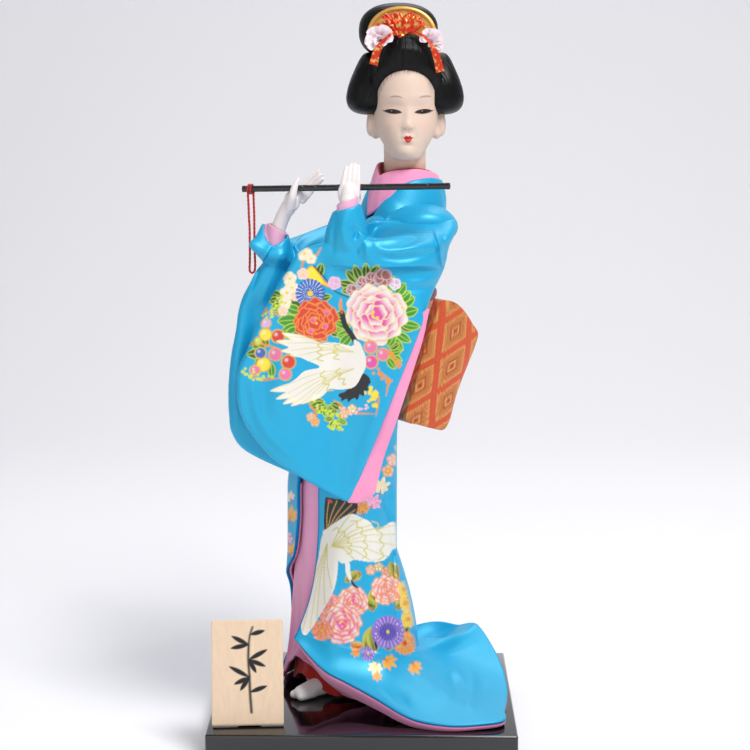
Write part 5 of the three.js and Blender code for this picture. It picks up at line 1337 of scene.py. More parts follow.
def paintSleeve(c):
    # leaves first, in sprays round each flower
    sprays = (((376, 314), 26, 45, -62, 58, 9), ((316, 321), 17, 36, 120, 205, 6),
        ((316, 321), 18, 30, -40, 10, 4), ((356, 330), 6, 22, 100, 220, 5),
        ((272, 354), 8, 24, 120, 260, 6), ((288, 300), 6, 20, 150, 230, 4),
        ((328, 402), 3, 18, 170, 330, 7), ((336, 418), 2, 13, 180, 380, 5),
        ((384, 352), 6, 20, -60, 50, 5))
    for k, (middle, near, far, low, high, count) in enumerate(sprays):
        own = np.random.default_rng(40 + k)
        for turn in np.radians(np.linspace(low, high, count) + own.uniform(-6, 6, count)):
            tail = spoke(middle, near, turn)
            tip = spoke(middle, far * own.uniform(0.86, 1.08), turn + 0.1)
            wide = (far - near) * own.uniform(0.24, 0.34)
            paintLeaf(c, tail, tip, wide, "leaf" if own.uniform() < 0.6 else "moss", "lime", True, 0.6)
    for tail, tip in (((358, 283), (346, 270)), ((362, 283), (354, 265)), ((366, 281), (366, 263)),
            ((370, 279), (379, 265)), ((356, 287), (338, 282)), ((358, 290), (341, 291)),
            ((318, 278), (322, 263)), ((312, 300), (332, 296))):
        paintLeaf(c, tail, tip, 4.6, "forest", "lime", True, 0.6)
    for points in ([(246, 346), (262, 344), (282, 350)], [(250, 376), (262, 380), (280, 378)],
            [(300, 276), (303, 262), (311, 250)], [(314, 258), (318, 253), (321, 248)],
            [(380, 372), (388, 380), (386, 396)], [(334, 400), (350, 412), (374, 414)],
            [(308, 402), (316, 414), (312, 424)], [(366, 388), (378, 396), (376, 416)],
            [(268, 312), (276, 314), (284, 310)]):
        paintStroke(c, points, 1.0, "orange", 0.3)
    paintShape(c, [(307, 269), (312, 266), (318, 272), (324, 280), (330, 287), (320, 284), (309, 279),
        (305, 275)], "lemon", "orange")
    paintStroke(c, [(314, 266), (324, 277), (335, 291), (348, 297)], 0.7, "dark", 0, False)
    for spot, ink, size in (((304.6, 253.7), "white", 7), ((311, 258.7), "white", 5),
            ((303, 274), "blush", 5.4), ((289.7, 278.6), "white", 6.6), ((292, 288), "white", 6.4),
            ((287, 293), "white", 6.8), ((285, 303), "white", 6), ((283, 311), "blush", 4.6),
            ((296, 296), "blush", 5)):
        paintPlum(c, spot, size, ink, "cream")
    for spot, size, inner, outer in (((334.5, 283), 6, "lilac", "blush"),
            ((352, 290), 5.5, "brown", "mauve"), ((359.5, 294.5), 5.5, "brown", "mauve"),
            ((363, 282.5), 6, "brown", "mauve"), ((395, 284), 5.5, "lilac", "white"),
            ((371.8, 279), 6.6, "brown", "mauve"), ((369.5, 290), 6, "brown", "mauve"),
            ((383, 278), 9, "brown", "mauve")):
        for k in range(5):
            turn = -(0.5 + 1.257 * k)
            paintPetal(c, spoke(spot, size * 0.5, turn), turn, size * 0.58, inner, outer, outer, 0, 1,
                (0.1, 1.1))
    paintMum(c, (310.2, 293.5), 15, "blue", "ivory", "yellow", 22)
    paintPeony(c, (315.5, 321), 22, "red", "red", "orange", 2)
    for spot in ((313, 320), (310.5, 331), (325, 326), (327, 313)):
        paintPetal(c, spot, 1.2, 3, "magenta", "rose", "orange", 0, 1)
    paintPeony(c, (376, 314.5), 30.5, "magenta", "white", "cream", 3, (0.0, 0.92))
    for spot, ink, size in (((278, 336.4), "red", 6.6), ((265.5, 334.5), "lemon", 6),
            ((288.5, 362), "red", 7), ((263.6, 364.4), "lemon", 7), ((260.5, 353), "blue", 5.6),
            ((275.4, 354.4), "rose", 6.4), ((255, 370.6), "rose", 5.2), ((285.4, 374.3), "rose", 6),
            ((266, 323.3), "lilac", 4.8), ((258, 341), "lime", 3.6), ((370.6, 347), "rose", 6.4),
            ((383, 354.4), "rose", 6.2), ((371.2, 362), "magenta", 6.6)):
        paintDisc(c, spot, size, ink, "gold")
    for points, ink, size, seed in (([(388, 350), (394, 356), (400, 366)], "orange", 1.7, 1),
                                    ([(378, 370), (384, 378), (392, 382)], "orange", 1.7, 2),
                                    ([(366, 394), (374, 392), (376, 404)], "lemon", 2.2, 3),
                                    ([(244, 372), (254, 378), (268, 378)], "lime", 1.8, 4),
                                    ([(316, 404), (326, 412), (340, 414)], "lime", 1.8, 5),
                                    ([(340, 406), (352, 412), (366, 408)], "blush", 1.6, 6),
                                    ([(250, 326), (258, 316), (268, 308)], "orange", 1.7, 7),
                                    ([(266, 318), (276, 308), (282, 298)], "lime", 1.7, 8),
                                    ([(330, 426), (336, 424), (341, 430)], "lime", 1.6, 9)):
        paintSpray(c, points, ink, size, seed)
    # crane over them: tail, wings and body in one white shape, feather lines, neck and beak
    paintShape(c, [(362, 374), (370, 379), (367, 388), (360, 394), (352, 399), (341, 398), (339, 394),
        (350, 389)], "black")
    for tip in ((368, 376), (371, 382), (369, 390), (364, 396), (357, 400), (348, 402), (341, 401)):
        paintLeaf(c, (356, 384), tip, 3.0, "black", "black", False, 0.6)
    for tip in ((276, 341), (282, 333), (281, 351), (290, 355)):
        paintLeaf(c, (330, 350), tip, 4.4, "white", "cream", False, 0.6)
    for tip in ((301, 404), (291, 406), (283, 404), (276, 399), (270, 391), (311, 401)):
        paintLeaf(c, (332, 380), tip, 4.6, "white", "cream", False, 0.6)
    paintShape(c, [(290, 340), (304, 342.6), (322, 342.6), (338, 343), (352, 346), (357, 341),
        (364, 354), (366, 365), (362, 375), (354, 387), (340, 389.5), (330, 389), (319, 393), (304, 398),
        (290, 396), (284, 388), (295, 379.5), (305, 371), (320, 367), (306, 360), (294, 354),
        (288, 347)], "white")
    quills = (
        ((356, 352), ((284, 336), (282, 343), (286, 351), (297, 356), (310, 361)), (0, -4)),
        ((356, 368), ((273, 391), (279, 398), (286, 402), (294, 404), (303, 402), (315, 396)), (0, -5)),
    )
    for root, tips, bend in quills:
        for tip in tips:
            paintQuill(c, root, tip, bend, 0.62, "straw", 0, True)
    for middle, reach, low, high in (((360, 352), 22, 160, 200), ((360, 352), 38, 166, 194),
                                     ((360, 366), 20, 186, 236), ((360, 366), 36, 188, 222)):
        paintScallops(c, middle, reach, low, high, 3, 5)
    paintShape(c, [(356, 340), (364, 352), (366, 364), (361, 376), (352, 386), (346, 384), (354, 370),
        (354, 354)], "white")
    paintStroke(c, [(357, 344), (351, 334), (345, 325), (342, 313)], 2.7, "black", 0, False)
    paintStroke(c, [(361, 352), (358, 346), (355, 341)], 3.2, "white")
    paintStroke(c, [(342, 313), (340.5, 306), (341, 299)], 1.7, "orange")
    paintDisc(c, (341.6, 311.5), 1.7, "red", None, False)
    for spot, ink in (((352, 409), "white"), ((344, 414), "blush"), ((311, 417), "blush"),
            ((315, 422), "orange")):
        paintPlum(c, spot, 4.2, ink, "gold")


paintSleeve(leftCanvas)
leftPiece = makePiece("sleeve_left_cloth", (leftPoints, leftFaces), "doll",
    finishes["satin"], "sleeve_left", leftCanvas["color"], leftCanvas["gold"])

# Right sleeve behind it
rightSet = {
    "rows": [(109.5, -14, -6), (112, -24, -5), (116, -34, -4.5), (119.6, -41.3, -4), (122.8, -46.9, -4),
             (131, -53.1, -4), (138, -54, -4), (145.5, -54.2, -4), (161.8, -52.9, -4), (172.8, -50.8, -4),
             (180.9, -49.6, -3), (186.2, -47.9, -2), (191.4, -45, -1), (196, -42.5, 0), (201, -38.5, 2),
             (206, -33, 5)],
    "depth": [(-54, -21), (-36, -17.5), (-22, -4), (-4, 9), (10, 20)],
    "arm": [(8, 21, 202), (-6, 10.5, 201.5), (-18, 0.5, 199.5), (-27, -8, 198.5), (-32, -13, 199)],
    "armRadius": [13, 12.6, 12, 10.6, 9], "panel": -22.5, "voxel": 0.5,
    "mouth": [
        [(-24.5, -12, 198), (-27, -6, 200), (-31, -4.5, 201), (-35.5, -6.5, 201), (-38, -12, 199.5),
         (-38, -18.5, 197.5), (-33.5, -20.5, 196), (-27, -17.5, 196.5)],
        [(-28, -18.2, 203.2), (-30, -12, 204.6), (-35, -10, 205.6), (-40.5, -12.4, 206), (-43, -18, 205.6),
         (-44.8, -25.2, 206.6), (-37, -26.4, 202.4), (-30.2, -24.4, 201.8)],
        [(-28.8, -19.2, 207.6), (-30.8, -13.8, 208.6), (-35.2, -12, 210), (-39.8, -14, 211.2),
         (-42, -19, 211.2), (-41.6, -24.6, 209), (-36, -26, 205), (-30.6, -24, 205.6)],
        [(-29.4, -19.6, 210.6), (-31.5, -14.8, 211.6), (-35.5, -13.4, 213), (-39, -15.6, 214.4),
         (-40.2, -19.4, 214.8), (-38.6, -23.4, 210), (-35.5, -25.4, 206.9), (-31, -23.6, 208.8)],
    ],
}


def rightMiddle(x, z):
    swing = 0.8 * np.sin((x + 40) * 0.16) * smooth(190, 150, z)
    return mix(rightSet["panel"], rows(rightSet["depth"], x), smooth(174, 200, z)) + swing


def rightFront(x, z):
    return rightMiddle(x, z) - 2 - 4 * smooth(178, 200, z)


def rightRear(x, z):
    return rightMiddle(x, z) + 2 + 4 * smooth(178, 200, z)


rightShells = [pillow(rightSet["rows"], rightFront, rightRear, 150, 80), mouthCup(rightSet["mouth"], 1.1),
               tubeShell(armTube(rightSet["arm"], rightSet["armRadius"]))]
rightPoints, rightFaces = remeshed(*joinShells(rightShells), rightSet["voxel"], 4)
rightFolds = [
    ("tuck", [(272, 247), (266, 257), (258, 270), (250, 292)], 1.3, 5),
    ("ridge", [(283, 250), (275, 272), (262, 300)], 1.2, 5),
    ("ridge", [(291, 252), (284, 275), (272, 300)], -1.2, 4),
    ("tuck", [(292, 248), (300, 238), (311, 230), (326, 224)], 1.6, 5),
    ("ridge", [(296, 262), (308, 246), (324, 236)], 1.0, 4),
    ("ridge", [(258, 300), (250, 350), (242, 410)], -0.9, 8),
    ("ridge", [(246, 320), (238, 370), (236, 430)], 0.9, 7),
]
rightPoints, _ = foldCloth(rightPoints, rightFaces, rightFolds)
rightPaint = newCanvas(pictured(rightPoints), shades["satin"])
rightPiece = makePiece("sleeve_right_cloth", (rightPoints, rightFaces), "doll",
    finishes["satin"], "sleeve_right", rightPaint["color"], rightPaint["gold"])


# Pink linings that show along the sleeves' inner edges
def liningPanel(name, table, depth, node, n=110, m=44):
    z = np.linspace(table[0][0], table[-1][0], n)[:, None]
    left = rows(table, z, 1)
    right = rows(table, z, 2)
    x = left + (right - left) * np.linspace(0, 1, m)[None]
    y = depth + 0.5 * np.sin(x * 0.3 + z * 0.05) + 0.9 * smooth(0.6, 1, np.linspace(0, 1, m))[None] + 0 * z
    face = np.stack([x, y, z + 0 * x], axis=-1)
    shell = sheetShell(face, face + np.array((0, 0.8, 0)))
    paint = np.tile(linear(*shades["pink"]), (len(shell[0]), 1))
    piece = makePiece(name, shell, "doll", finishes["pink"], node, paint)


liningPanel("sleeve_left_lining", [(104.6, -5.5, 0.5), (105.6, -6, 1.6), (107.7, -5.5, 4.6),
    (112.1, -4.5, 6), (121.6, -2, 8.4), (141.9, 5, 15.2), (160.1, 12, 21), (172, 17, 24.5),
    (178, 20.4, 25.7), (183, 25.6, 26.6)], -35.8, "sleeve_lining_left")
liningPanel("sleeve_right_lining", [(110, -12, -3), (113, -14, 0), (120, -14, 1), (140, -14, 1),
    (160, -14, 1), (174, -14, 0.5), (184, -14, -1)], -23.0, "sleeve_lining_right")
print("sleeves done")

# Head and neck in one skin, with the face modelled and painted on it
headSet = {
    "rows": [(0, 3.2, 14.6, -8), (0.7, 5.2, 15.9, -5), (2.4, 7.0, 16.8, 0), (5.5, 8.9, 17.3, 4),
             (9.5, 11.1, 17.5, 8), (14, 12.6, 17.4, 11), (20, 13.3, 17.1, 12.8), (26, 13.6, 17.4, 13.4),
             (33, 13.2, 16.6, 13.2), (39, 11.4, 14.2, 11.6), (43.5, 8.2, 10.2, 8.6),
             (46.2, 3.8, 4.8, 4.2), (47, 0.8, 1, 1)],
    "ear": (14.3, -2.0, 14.2), "earHalf": (2.3, 2.7, 5.2), "faceX": 0.8, "voxel": 0.4,
    "neckShares": (0, 0.35, 0.7, 1), "neckRadii": (9.4, 8.7, 8.6, 8.8), "eye": (6.15, 19.5, 3.5, 0.86),
    "browLeft": 6.9, "browRight": 4.8, "browRise": 25.6, "nose": 14.2,
}


def onHead(x, y, rise):
    return np.stack(np.broadcast_arrays(neck[0] + x, neck[1] + y, chin + rise), axis=-1)


def headRing(rise, turn, grow=0.0):
    # turn is 0 at the face and a quarter turn at the doll's left
    half = rows(headSet["rows"], rise, 1) + grow
    front = rows(headSet["rows"], rise, 2) + grow
    back = rows(headSet["rows"], rise, 3) + grow
    return half * np.sin(turn), (back - front) / 2 - (front + back) / 2 * np.cos(turn)


hairlineRows = [(0, 36.3), (24, 35), (42, 32.4), (59, 27.2), (71, 22.6), (80, 18.6), (90, 16)]
headRise = np.concatenate([np.linspace(0, 3, 10), np.linspace(3.5, 43, 70),
    np.linspace(43.5, 47, 14)])[:, None]
headTurn = np.linspace(0, 2 * np.pi, 120, endpoint=False)[None]
headGrid = onHead(*headRing(headRise, headTurn), headRise)
neckLine = [(neck[0], neck[1] + 1, chin - 16.2), (neck[0] - 0.5, neck[1] - 0.2, chin - 7),
            (neck[0] - 0.4, neck[1] - 1.5, chin + 8)]
neckRadius = np.interp(np.linspace(0, 1, 30), headSet["neckShares"], headSet["neckRadii"])
neckTube = sweep(throughPoints(neckLine, 30), neckRadius, 60)
earX, earY, earRise = headSet["ear"]
headShells = [tubeShell(headGrid), tubeShell(neckTube)]
for side in (-1, 1):
    headShells.append(eggShell(onHead(side * earX, earY, earRise), headSet["earHalf"]))
    headShells.append(eggShell(onHead(side * (earX + 0.6), earY + 0.8, earRise + 0.9), (1.3, 2.6, 3.9)))
    headShells.append(eggShell(onHead(side * 12.4, earY - 0.2, 11.0), (2.1, 2.6, 3.0)))
headPoints, headFaces = remeshed(*joinShells(headShells), headSet["voxel"], 5)
# a finer mesh over the face, and a finer one again over the eyes, nose and mouth
for middleX, half, front, low, high in ((0, 12, 6, 3, 38), (headSet["faceX"], 10.4, 9, 6, 28)):
    headPoints, headFaces = finer(headPoints, headFaces, lambda m: (
        (m[:, 1] < neck[1] - front) & (np.abs(m[:, 0] - neck[0] - middleX) < half)
        & (m[:, 2] > chin + low) & (m[:, 2] < chin + high)))
faceX = headPoints[:, 0] - neck[0] - headSet["faceX"]
faceZ = headPoints[:, 2] - chin
faceFront = smooth(neck[1] - 4, neck[1] - 10, headPoints[:, 1])
eyeX, eyeZ, eyeHalf, eyeTall = headSet["eye"]
faceSide = np.abs(faceX)


def mound(x, z, middleX, middleZ, wide, tall):
    return bump(x, middleX, wide) * bump(z, middleZ, tall)


faceForms = [  # height, measured across or on both sides, then the middle and the half widths in mm
    (1.35, faceX, 0, headSet["nose"], 2.0, 1.9), (0.8, faceX, 0, 17.6, 1.9, 3.4),
    (0.35, faceSide, 1.6, 13.4, 0.9, 0.9),
    (-0.5, faceSide, 4.4, 20.2, 3.4, 2.8), (0.4, faceSide, eyeX, eyeZ + 0.3, 3.4, 1.7),
    (-0.28, faceSide, eyeX + 0.2, 22.0, 4.0, 1.0), (0.3, faceSide, 5.4, 25.6, 4.4, 1.6),
    (0.55, faceX, 0, 9.8, 2.1, 0.8), (0.6, faceX, 0, 8.0, 1.6, 0.8), (-0.45, faceX, 0, 9.0, 2.0, 0.28),
    (-0.35, faceX, 0, 6.2, 2.4, 0.8), (0.6, faceX, 0, 3.2, 3.4, 1.9), (0.5, faceSide, 7.4, 13.5, 3.6, 4.2),
    (-0.25, faceSide, 3.0, 10.2, 0.9, 2.0), (-0.2, faceX, 0, 11.4, 0.6, 1.0),
]
faceOut = sum(height * mound(across, faceZ, *place) for height, across, *place in faceForms)
headPoints = headPoints + np.outer(faceFront * faceOut, (0, -1, 0))
earDip = mound(headPoints[:, 1], faceZ, neck[1] + earY - 0.4, earRise + 0.6, 1.1, 2.4)
earDip *= smooth(13.6, 14.6, faceSide)
headPoints[:, 0] -= np.sign(faceX) * 0.9 * earDip

skin = np.tile(linear(*shades["skin"]), (len(headPoints), 1))


def tint(mask, color):
    skin[:] = mix(skin, linear(*color), np.clip(mask * faceFront, 0, 1)[:, None])


# painted shade: the neck below the chin is coloured darker and warmer
skin = mix(skin, linear(228, 178, 156), (0.75 * smooth(1.5, -3, faceZ))[:, None])
tint(0.2 * mound(faceSide, faceZ, 7.2, 14.5, 3.4, 3.4), (240, 184, 164))
tint(0.16 * mound(faceSide, faceZ, 5.8, 21.8, 4.2, 1.2), (216, 168, 148))
# painted shade under the nose tip: darker at the nostrils and just below the tip
tint(0.3 * mound(faceSide, faceZ, 1.3, 12.9, 0.5, 0.35), (186, 120, 104))
tint(0.2 * mound(faceX, faceZ, 0, 12.4, 1.8, 0.5), (206, 150, 130))
lidX = (faceSide - eyeX) / eyeHalf
lidShape = np.clip(1 - lidX ** 2, 0, 1)
tilt = eyeZ + 0.22 * lidX
upperLid = tilt + (eyeTall + 0.15) * lidShape ** 0.75
lowerLid = tilt - eyeTall * 0.8 * lidShape ** 0.9
inEye = smooth(-0.1, 0.12, upperLid - faceZ) * smooth(-0.1, 0.12, faceZ - lowerLid) * (np.abs(lidX) < 1.02)
tint(inEye, (46, 26, 20))
tint(inEye * smooth(1.5, 0.9, np.hypot(faceSide - eyeX, faceZ - eyeZ)), (12, 8, 8))
tint(bump(faceZ - upperLid, 0.02, 0.22) * smooth(1.12, 0.95, np.abs(lidX)), (24, 15, 13))
tint(0.85 * bump(faceZ - tilt - 0.25, 0, 0.2) * smooth(0.9, 1.0, lidX) * smooth(1.32, 1.05, lidX),
    (30, 20, 18))
tint(0.6 * bump(faceZ - lowerLid, -0.02, 0.16) * smooth(1.05, 0.8, np.abs(lidX)), (70, 44, 38))
tint(0.4 * bump(faceZ - upperLid, 1.0, 0.18) * smooth(1.0, 0.6, np.abs(lidX)), (176, 124, 106))
# painted highlight: a pale glint in each eye
glint = np.hypot(faceX + eyeX + 0.5, faceZ - eyeZ - 0.45)
glint = np.minimum(glint, np.hypot(faceX - eyeX + 0.5, faceZ - eyeZ - 0.45))
tint(0.6 * smooth(0.3, 0.14, glint), (200, 196, 196))
browZ = headSet["browRise"]
browRun = np.where(faceX > 0, faceX - headSet["browLeft"], -faceX - headSet["browRight"]) / 2.9
browLine = browZ + 0.5 * np.clip(1 - (browRun - 0.15) ** 2, -1, 1) - 0.35
tint(0.66 * bump(faceZ - browLine, 0, 0.34 * np.sqrt(np.clip(1.1 - browRun ** 2, 0.05, 1)))
     * smooth(1.05, 0.6, np.abs(browRun)), (128, 92, 88))
lipX = faceSide / 2.05
lipBow = 0.82 + 0.3 * bump(faceSide, 0.8, 0.5)
lipTop = 9.05 + 1.25 * np.clip(1 - lipX ** 1.7, 0, 1) * lipBow - 0.3 * bump(faceX, 0, 0.32)
lipLow = 9.05 - 1.8 * np.clip(1 - (faceSide / 1.62) ** 2, 0, 1) ** 0.75
inLip = smooth(-0.12, 0.12, lipTop - faceZ) * smooth(-0.12, 0.12, faceZ - lipLow) * (faceSide < 2.05)
tint(inLip, (204, 58, 48))
tint(0.4 * inLip * bump(faceZ, 9.0 - 0.12 * np.cos(faceX * 2.2), 0.16), (118, 18, 22))
hairEdge = rows(hairlineRows, np.degrees(np.arcsin(np.clip(faceSide / 13.4, 0, 1))))
strands = smooth(0.1, 0.7, waves(faceX * 5, 6, 0.6, 1.6, 12))
tint(0.5 * strands * smooth(hairEdge - 1.5, hairEdge - 0.2, faceZ), (60, 46, 44))
# painted shade: the forehead is darker just below the hair's edge
tint(0.3 * smooth(hairEdge - 2.6, hairEdge, faceZ), (150, 120, 110))
for x, reach in ((-1.4, 2.4), (-0.5, 3.0), (0.2, 3.4), (0.9, 2.6), (1.7, 2.0)):
    lean = faceX - x - 0.06 * (36.5 - faceZ)
    tint(0.8 * bump(lean, 0, 0.13) * smooth(36.8 - reach, 36.8 - reach * 0.4, faceZ), (40, 30, 30))
makePiece("head_with_face", (headPoints, headFaces), "head", finishes["skin"], "head", skin)

# Hair, combed in strands
hairSet = {
    "frontTop": 50.2, "wing": (14.8, 3.5, 25.6), "wingHalf": (9.2, 14, 17.4), "wingLow": 7.8,
    "back": (0, 10, 28.7), "backHalf": (14, 13.5, 15), "topknot": (-3.2, 4.5, 51.6),
    "topHalf": (16.2, 11, 11.4), "groove": 0.09,
}


def combed(grid, normal, across, seed, fade=1.0):
    # strand grooves across the grid's second axis, wandering a little along the first
    n, m = grid.shape[:2]
    wander = 0.08 * waves(np.linspace(0, 9, n), 4, 0.5, 1.5, seed)[:, None]
    turn = np.linspace(0, 1, m)[None] * across + wander * 3
    angle = turn * 2 * np.pi
    depth = waves(angle, 7, 0.4, 1.6, seed + 1) + 0.6 * waves(angle, 6, 2, 4.5, seed + 2)
    return grid + normal * (hairSet["groove"] * depth * fade)[..., None]


frontTurn = np.radians(np.linspace(-86, 86, 300))[None]
frontShare = np.linspace(0, 1, 90)
frontFall = 1 - np.cos(frontTurn)
frontLine = rows(hairlineRows, np.abs(np.degrees(frontTurn)))
frontTop = hairSet["frontTop"] - 7.5 * frontFall
frontRings = []
for lift, out in ((-0.02, -1.4), (0.0, 0.1), (0.07, 1.3), (0.28, 3.4), (0.58, 3.6), (0.84, 1.6)):
    rise = mix(frontLine, frontTop, lift)
    thin = 1 - 0.5 * smooth(45, 86, np.abs(np.degrees(frontTurn)))
    x, y = headRing(np.minimum(rise, 40), frontTurn, out * thin)
    frontRings.append(onHead(x, y, rise))
for back, drop in ((0.78, 0.0), (0.5, 0.4), (0.15, 2.2)):
    x, y = headRing(np.full_like(frontTurn, 36), frontTurn, 2)
    frontRings.append(onHead(x * back, y * back, frontTop - drop))
frontRings = np.array([r[0] for r in frontRings])
frontFace = np.stack([throughPoints(frontRings[:, j], 90) for j in range(300)], axis=1)
frontNormal = gridNormals(frontFace)
if frontNormal[45, 150] @ np.array((0, -1, 0.5)) < 0:
    frontNormal = -frontNormal
frontFade = smooth(0, 0.08, frontShare)[:, None]
frontFace = combed(frontFace, frontNormal, 60, 21, frontFade)
frontShell = sheetShell(frontFace, frontFace - 2.2 * frontNormal)
makePiece("hair_front_roll", frontShell, "head", finishes["hair"], "hair_front")


def hairLobe(name, middle, half, pole, node, across, seed, low=None, square=0.85, n=90, m=320):
    # rounded mass whose strands run from one pole to the other
    pole = np.array(pole, float) / np.linalg.norm(pole)
    side = np.cross(pole, (0.2, 1, 0.1))
    side /= np.linalg.norm(side)
    third = np.cross(pole, side)
    fall = np.linspace(0.03, np.pi - 0.03, n)[:, None]
    turn = np.linspace(0, 2 * np.pi, m, endpoint=False)[None]
    unit = ((np.cos(fall) + 0 * turn)[..., None] * pole + (np.sin(fall) * np.cos(turn))[..., None] * side
            + (np.sin(fall) * np.sin(turn))[..., None] * third)
    unit = np.sign(unit) * np.abs(unit) ** square
    grid = unit * np.array(half)
    if low:
        grid[..., 2] = np.where(unit[..., 2] < 0, low * unit[..., 2], grid[..., 2])
        grid[..., 0] *= mix(1.06, 0.62, smooth(-0.1, 1, unit[..., 2]))
        grid[..., 1] *= mix(1.0, 0.8, smooth(0.2, 1, unit[..., 2]))
    grid += np.array(middle)
    normal = unit / np.array(half)
    normal /= np.linalg.norm(normal, axis=-1, keepdims=True)
    turnShare = np.abs(np.sin(np.linspace(0, np.pi, m, endpoint=False)))[None] ** 0.2
    grid = combed(grid, normal, across, seed, np.sin(fall) * turnShare)
    return makePiece(name, tubeShell(onHead(grid[..., 0], grid[..., 1], grid[..., 2])), "head",
                     finishes["hair"], node)


wingX, wingY, wingRise = hairSet["wing"]
for side, x, lean, seed in (("left", wingX - 0.9, -0.45, 31), ("right", -wingX, 0.45, 41)):
    hairLobe("hair_wing_" + side + "_comb", (x, wingY, wingRise), hairSet["wingHalf"], (lean, -0.35, 0.85),
             "hair_wing_" + side, 60, seed, hairSet["wingLow"], 0.72)
hairLobe("hair_back_comb", hairSet["back"], hairSet["backHalf"], (0, -0.3, 1), "hair_back", 44, 51)
hairLobe("hair_topknot_roll", hairSet["topknot"], hairSet["topHalf"], (1, 0, -0.15), "hair_topknot", 36, 61)
print("head and hair done")

# Comb, foil bow, flowers and streamers in the hair
combSet = {"half": 14.2, "rise": 13.4, "thick": 1.5, "at": (-1.8, -9.2, 48.2), "tilt": 8}


def combPoint(x, z, y):
    lean = math.radians(combSet["tilt"])
    return onHead(combSet["at"][0] + x, combSet["at"][1] + y * math.cos(lean) + z * math.sin(lean),
                  combSet["at"][2] + z * math.cos(lean))


combTurn = np.linspace(0, np.pi, 140)[:, None]
combShare = np.linspace(0, 1, 40)[None]
combX = combSet["half"] * np.cos(combTurn) * combShare
combZ = combSet["rise"] * np.sin(combTurn) ** 0.8 * combShare
combDish = 0.5 * (1 - combShare ** 2) + 0 * combTurn
combDish = combDish - 0.5 * bump(combShare, 0.93, 0.05) - 0.25 * bump(combShare, 0.72, 0.03)
combFront = combPoint(combX, combZ, -combSet["thick"] / 2 + combDish)
combBack = combPoint(combX, combZ, combSet["thick"] / 2 + 0.3 * combDish)
combShell = sheetShell(combFront, combBack)
combCanvas = newCanvas(np.tile(np.stack([combX.ravel(), -combZ.ravel()], 1), (2, 1)), (226, 168, 88))
combCanvas["gold"][:] = 0.7
for k in range(60):
    turn, far = rng.uniform(0.2, 2.9), rng.uniform(0.3, 0.86)
    spot = (combSet["half"] * math.cos(turn) * far, -combSet["rise"] * math.sin(turn) * far)
    pick, x, y = around(combCanvas, spot, 1.4)
    dot = 0.7 * smooth(rng.uniform(0.3, 0.7), 0.1, np.hypot(x, y * 1.4))
    layOn(combCanvas, pick, dot, linear(128, 74, 34), 0.5)
for turn in np.linspace(0.35, 2.8, 7):
    spot = (combSet["half"] * math.cos(turn) * 0.62, -combSet["rise"] * math.sin(turn) * 0.62)
    paintPlum(combCanvas, spot, 1.5, "orange", "gold")
makePiece("comb_plate", combShell, "head", finishes["gold"], "comb", combCanvas["color"],
    combCanvas["gold"])


def foilPaint(points, seed):
    own = np.random.default_rng(seed)
    red, gold = linear(214, 50, 24), linear(240, 190, 100)
    spark = np.zeros(len(points))
    for _ in range(10):
        way = own.normal(size=3)
        way /= np.linalg.norm(way)
        spark += np.sin(points @ way * own.uniform(2.2, 5.5) + own.uniform(0, 6))
    share = smooth(1.2, 2.6, spark)
    return mix(red, gold, share[:, None]), 0.45 + 0.5 * share


foilShells = []
foilOwn = np.random.default_rng(3)
for k in range(44):
    # strips that fan out from the knot, thinner over the comb's middle
    turn = math.radians(foilOwn.choice((foilOwn.uniform(100, 168), foilOwn.uniform(14, 80),
        foilOwn.uniform(60, 120)), p=(0.37, 0.37, 0.26)))
    long = foilOwn.uniform(7.6, 11.4) * (1 - 0.2 * bump(math.degrees(turn), 90, 25))
    wide = foilOwn.uniform(0.55, 0.95)
    t = np.linspace(0, 1, 16)
    depth = -3.4 - 1.6 * np.sin(t * 2.4) * foilOwn.uniform(0.5, 1.2) - foilOwn.uniform(0, 0.8)
    zig = 0.28 * np.sin(t * foilOwn.uniform(9, 16) + foilOwn.uniform(0, 6))
    x = -0.2 + long * t * math.cos(turn) + zig * -math.sin(turn)
    z = 1.6 + long * t * math.sin(turn) + zig * math.cos(turn)
    across = np.array((-math.sin(turn), math.cos(turn)))
    width = wide * np.clip(0.35 + 1.6 * t, 0, 1)[:, None] * np.array((-1, 0, 1))[None]
    crease = 0.45 * np.array((0, -1, 0))[None] + 0 * width
    face = combPoint(x[:, None] + width * across[0], z[:, None] + width * across[1], depth[:, None] + crease)
    foilShells.append(sheetShell(face, face + np.array((0, 0.12, 0))))
foilShells.append(eggShell(combPoint(-0.1, 1.2, -4.2), (2.0, 1.4, 1.5), 24, 14))
foilShell = joinShells(foilShells)
foilColor, foilGold = foilPaint(foilShell[0], 5)
makePiece("foil_bow_fan", foilShell, "head", finishes["foil"], "foil_bow", foilColor, foilGold)


def petalShell(root, turn, lean, long, wide, cup, curl):
    # a cupped petal, from its root outwards
    u = np.linspace(0, 1, 16)[:, None]
    v = np.linspace(-1, 1, 17)[None]
    edge = wide * np.sqrt(np.clip(u * (2.02 - u) * 0.99, 0.02, 1)) * (1 - 0.12 * u)
    x = edge * v
    y = long * u * (1 - 0.12 * v ** 2) + 0 * v
    z = cup * (v ** 2) * edge / wide + curl * u ** 2 + 0.12 * long * np.sin(u * np.pi)
    z = z + 0.1 * np.sin(7 * v + 3 * u)
    out = y * math.cos(lean) - z * math.sin(lean)
    up = y * math.sin(lean) + z * math.cos(lean)
    c, s = math.cos(turn), math.sin(turn)
    grid = np.stack([x * c - out * s, -up, x * s + out * c], axis=-1) + np.array(root)
    share = np.broadcast_to(u, grid.shape[:2]).ravel()
    return sheetShell(grid, grid + np.array((0, 0.35, 0))), np.tile(share, 2)


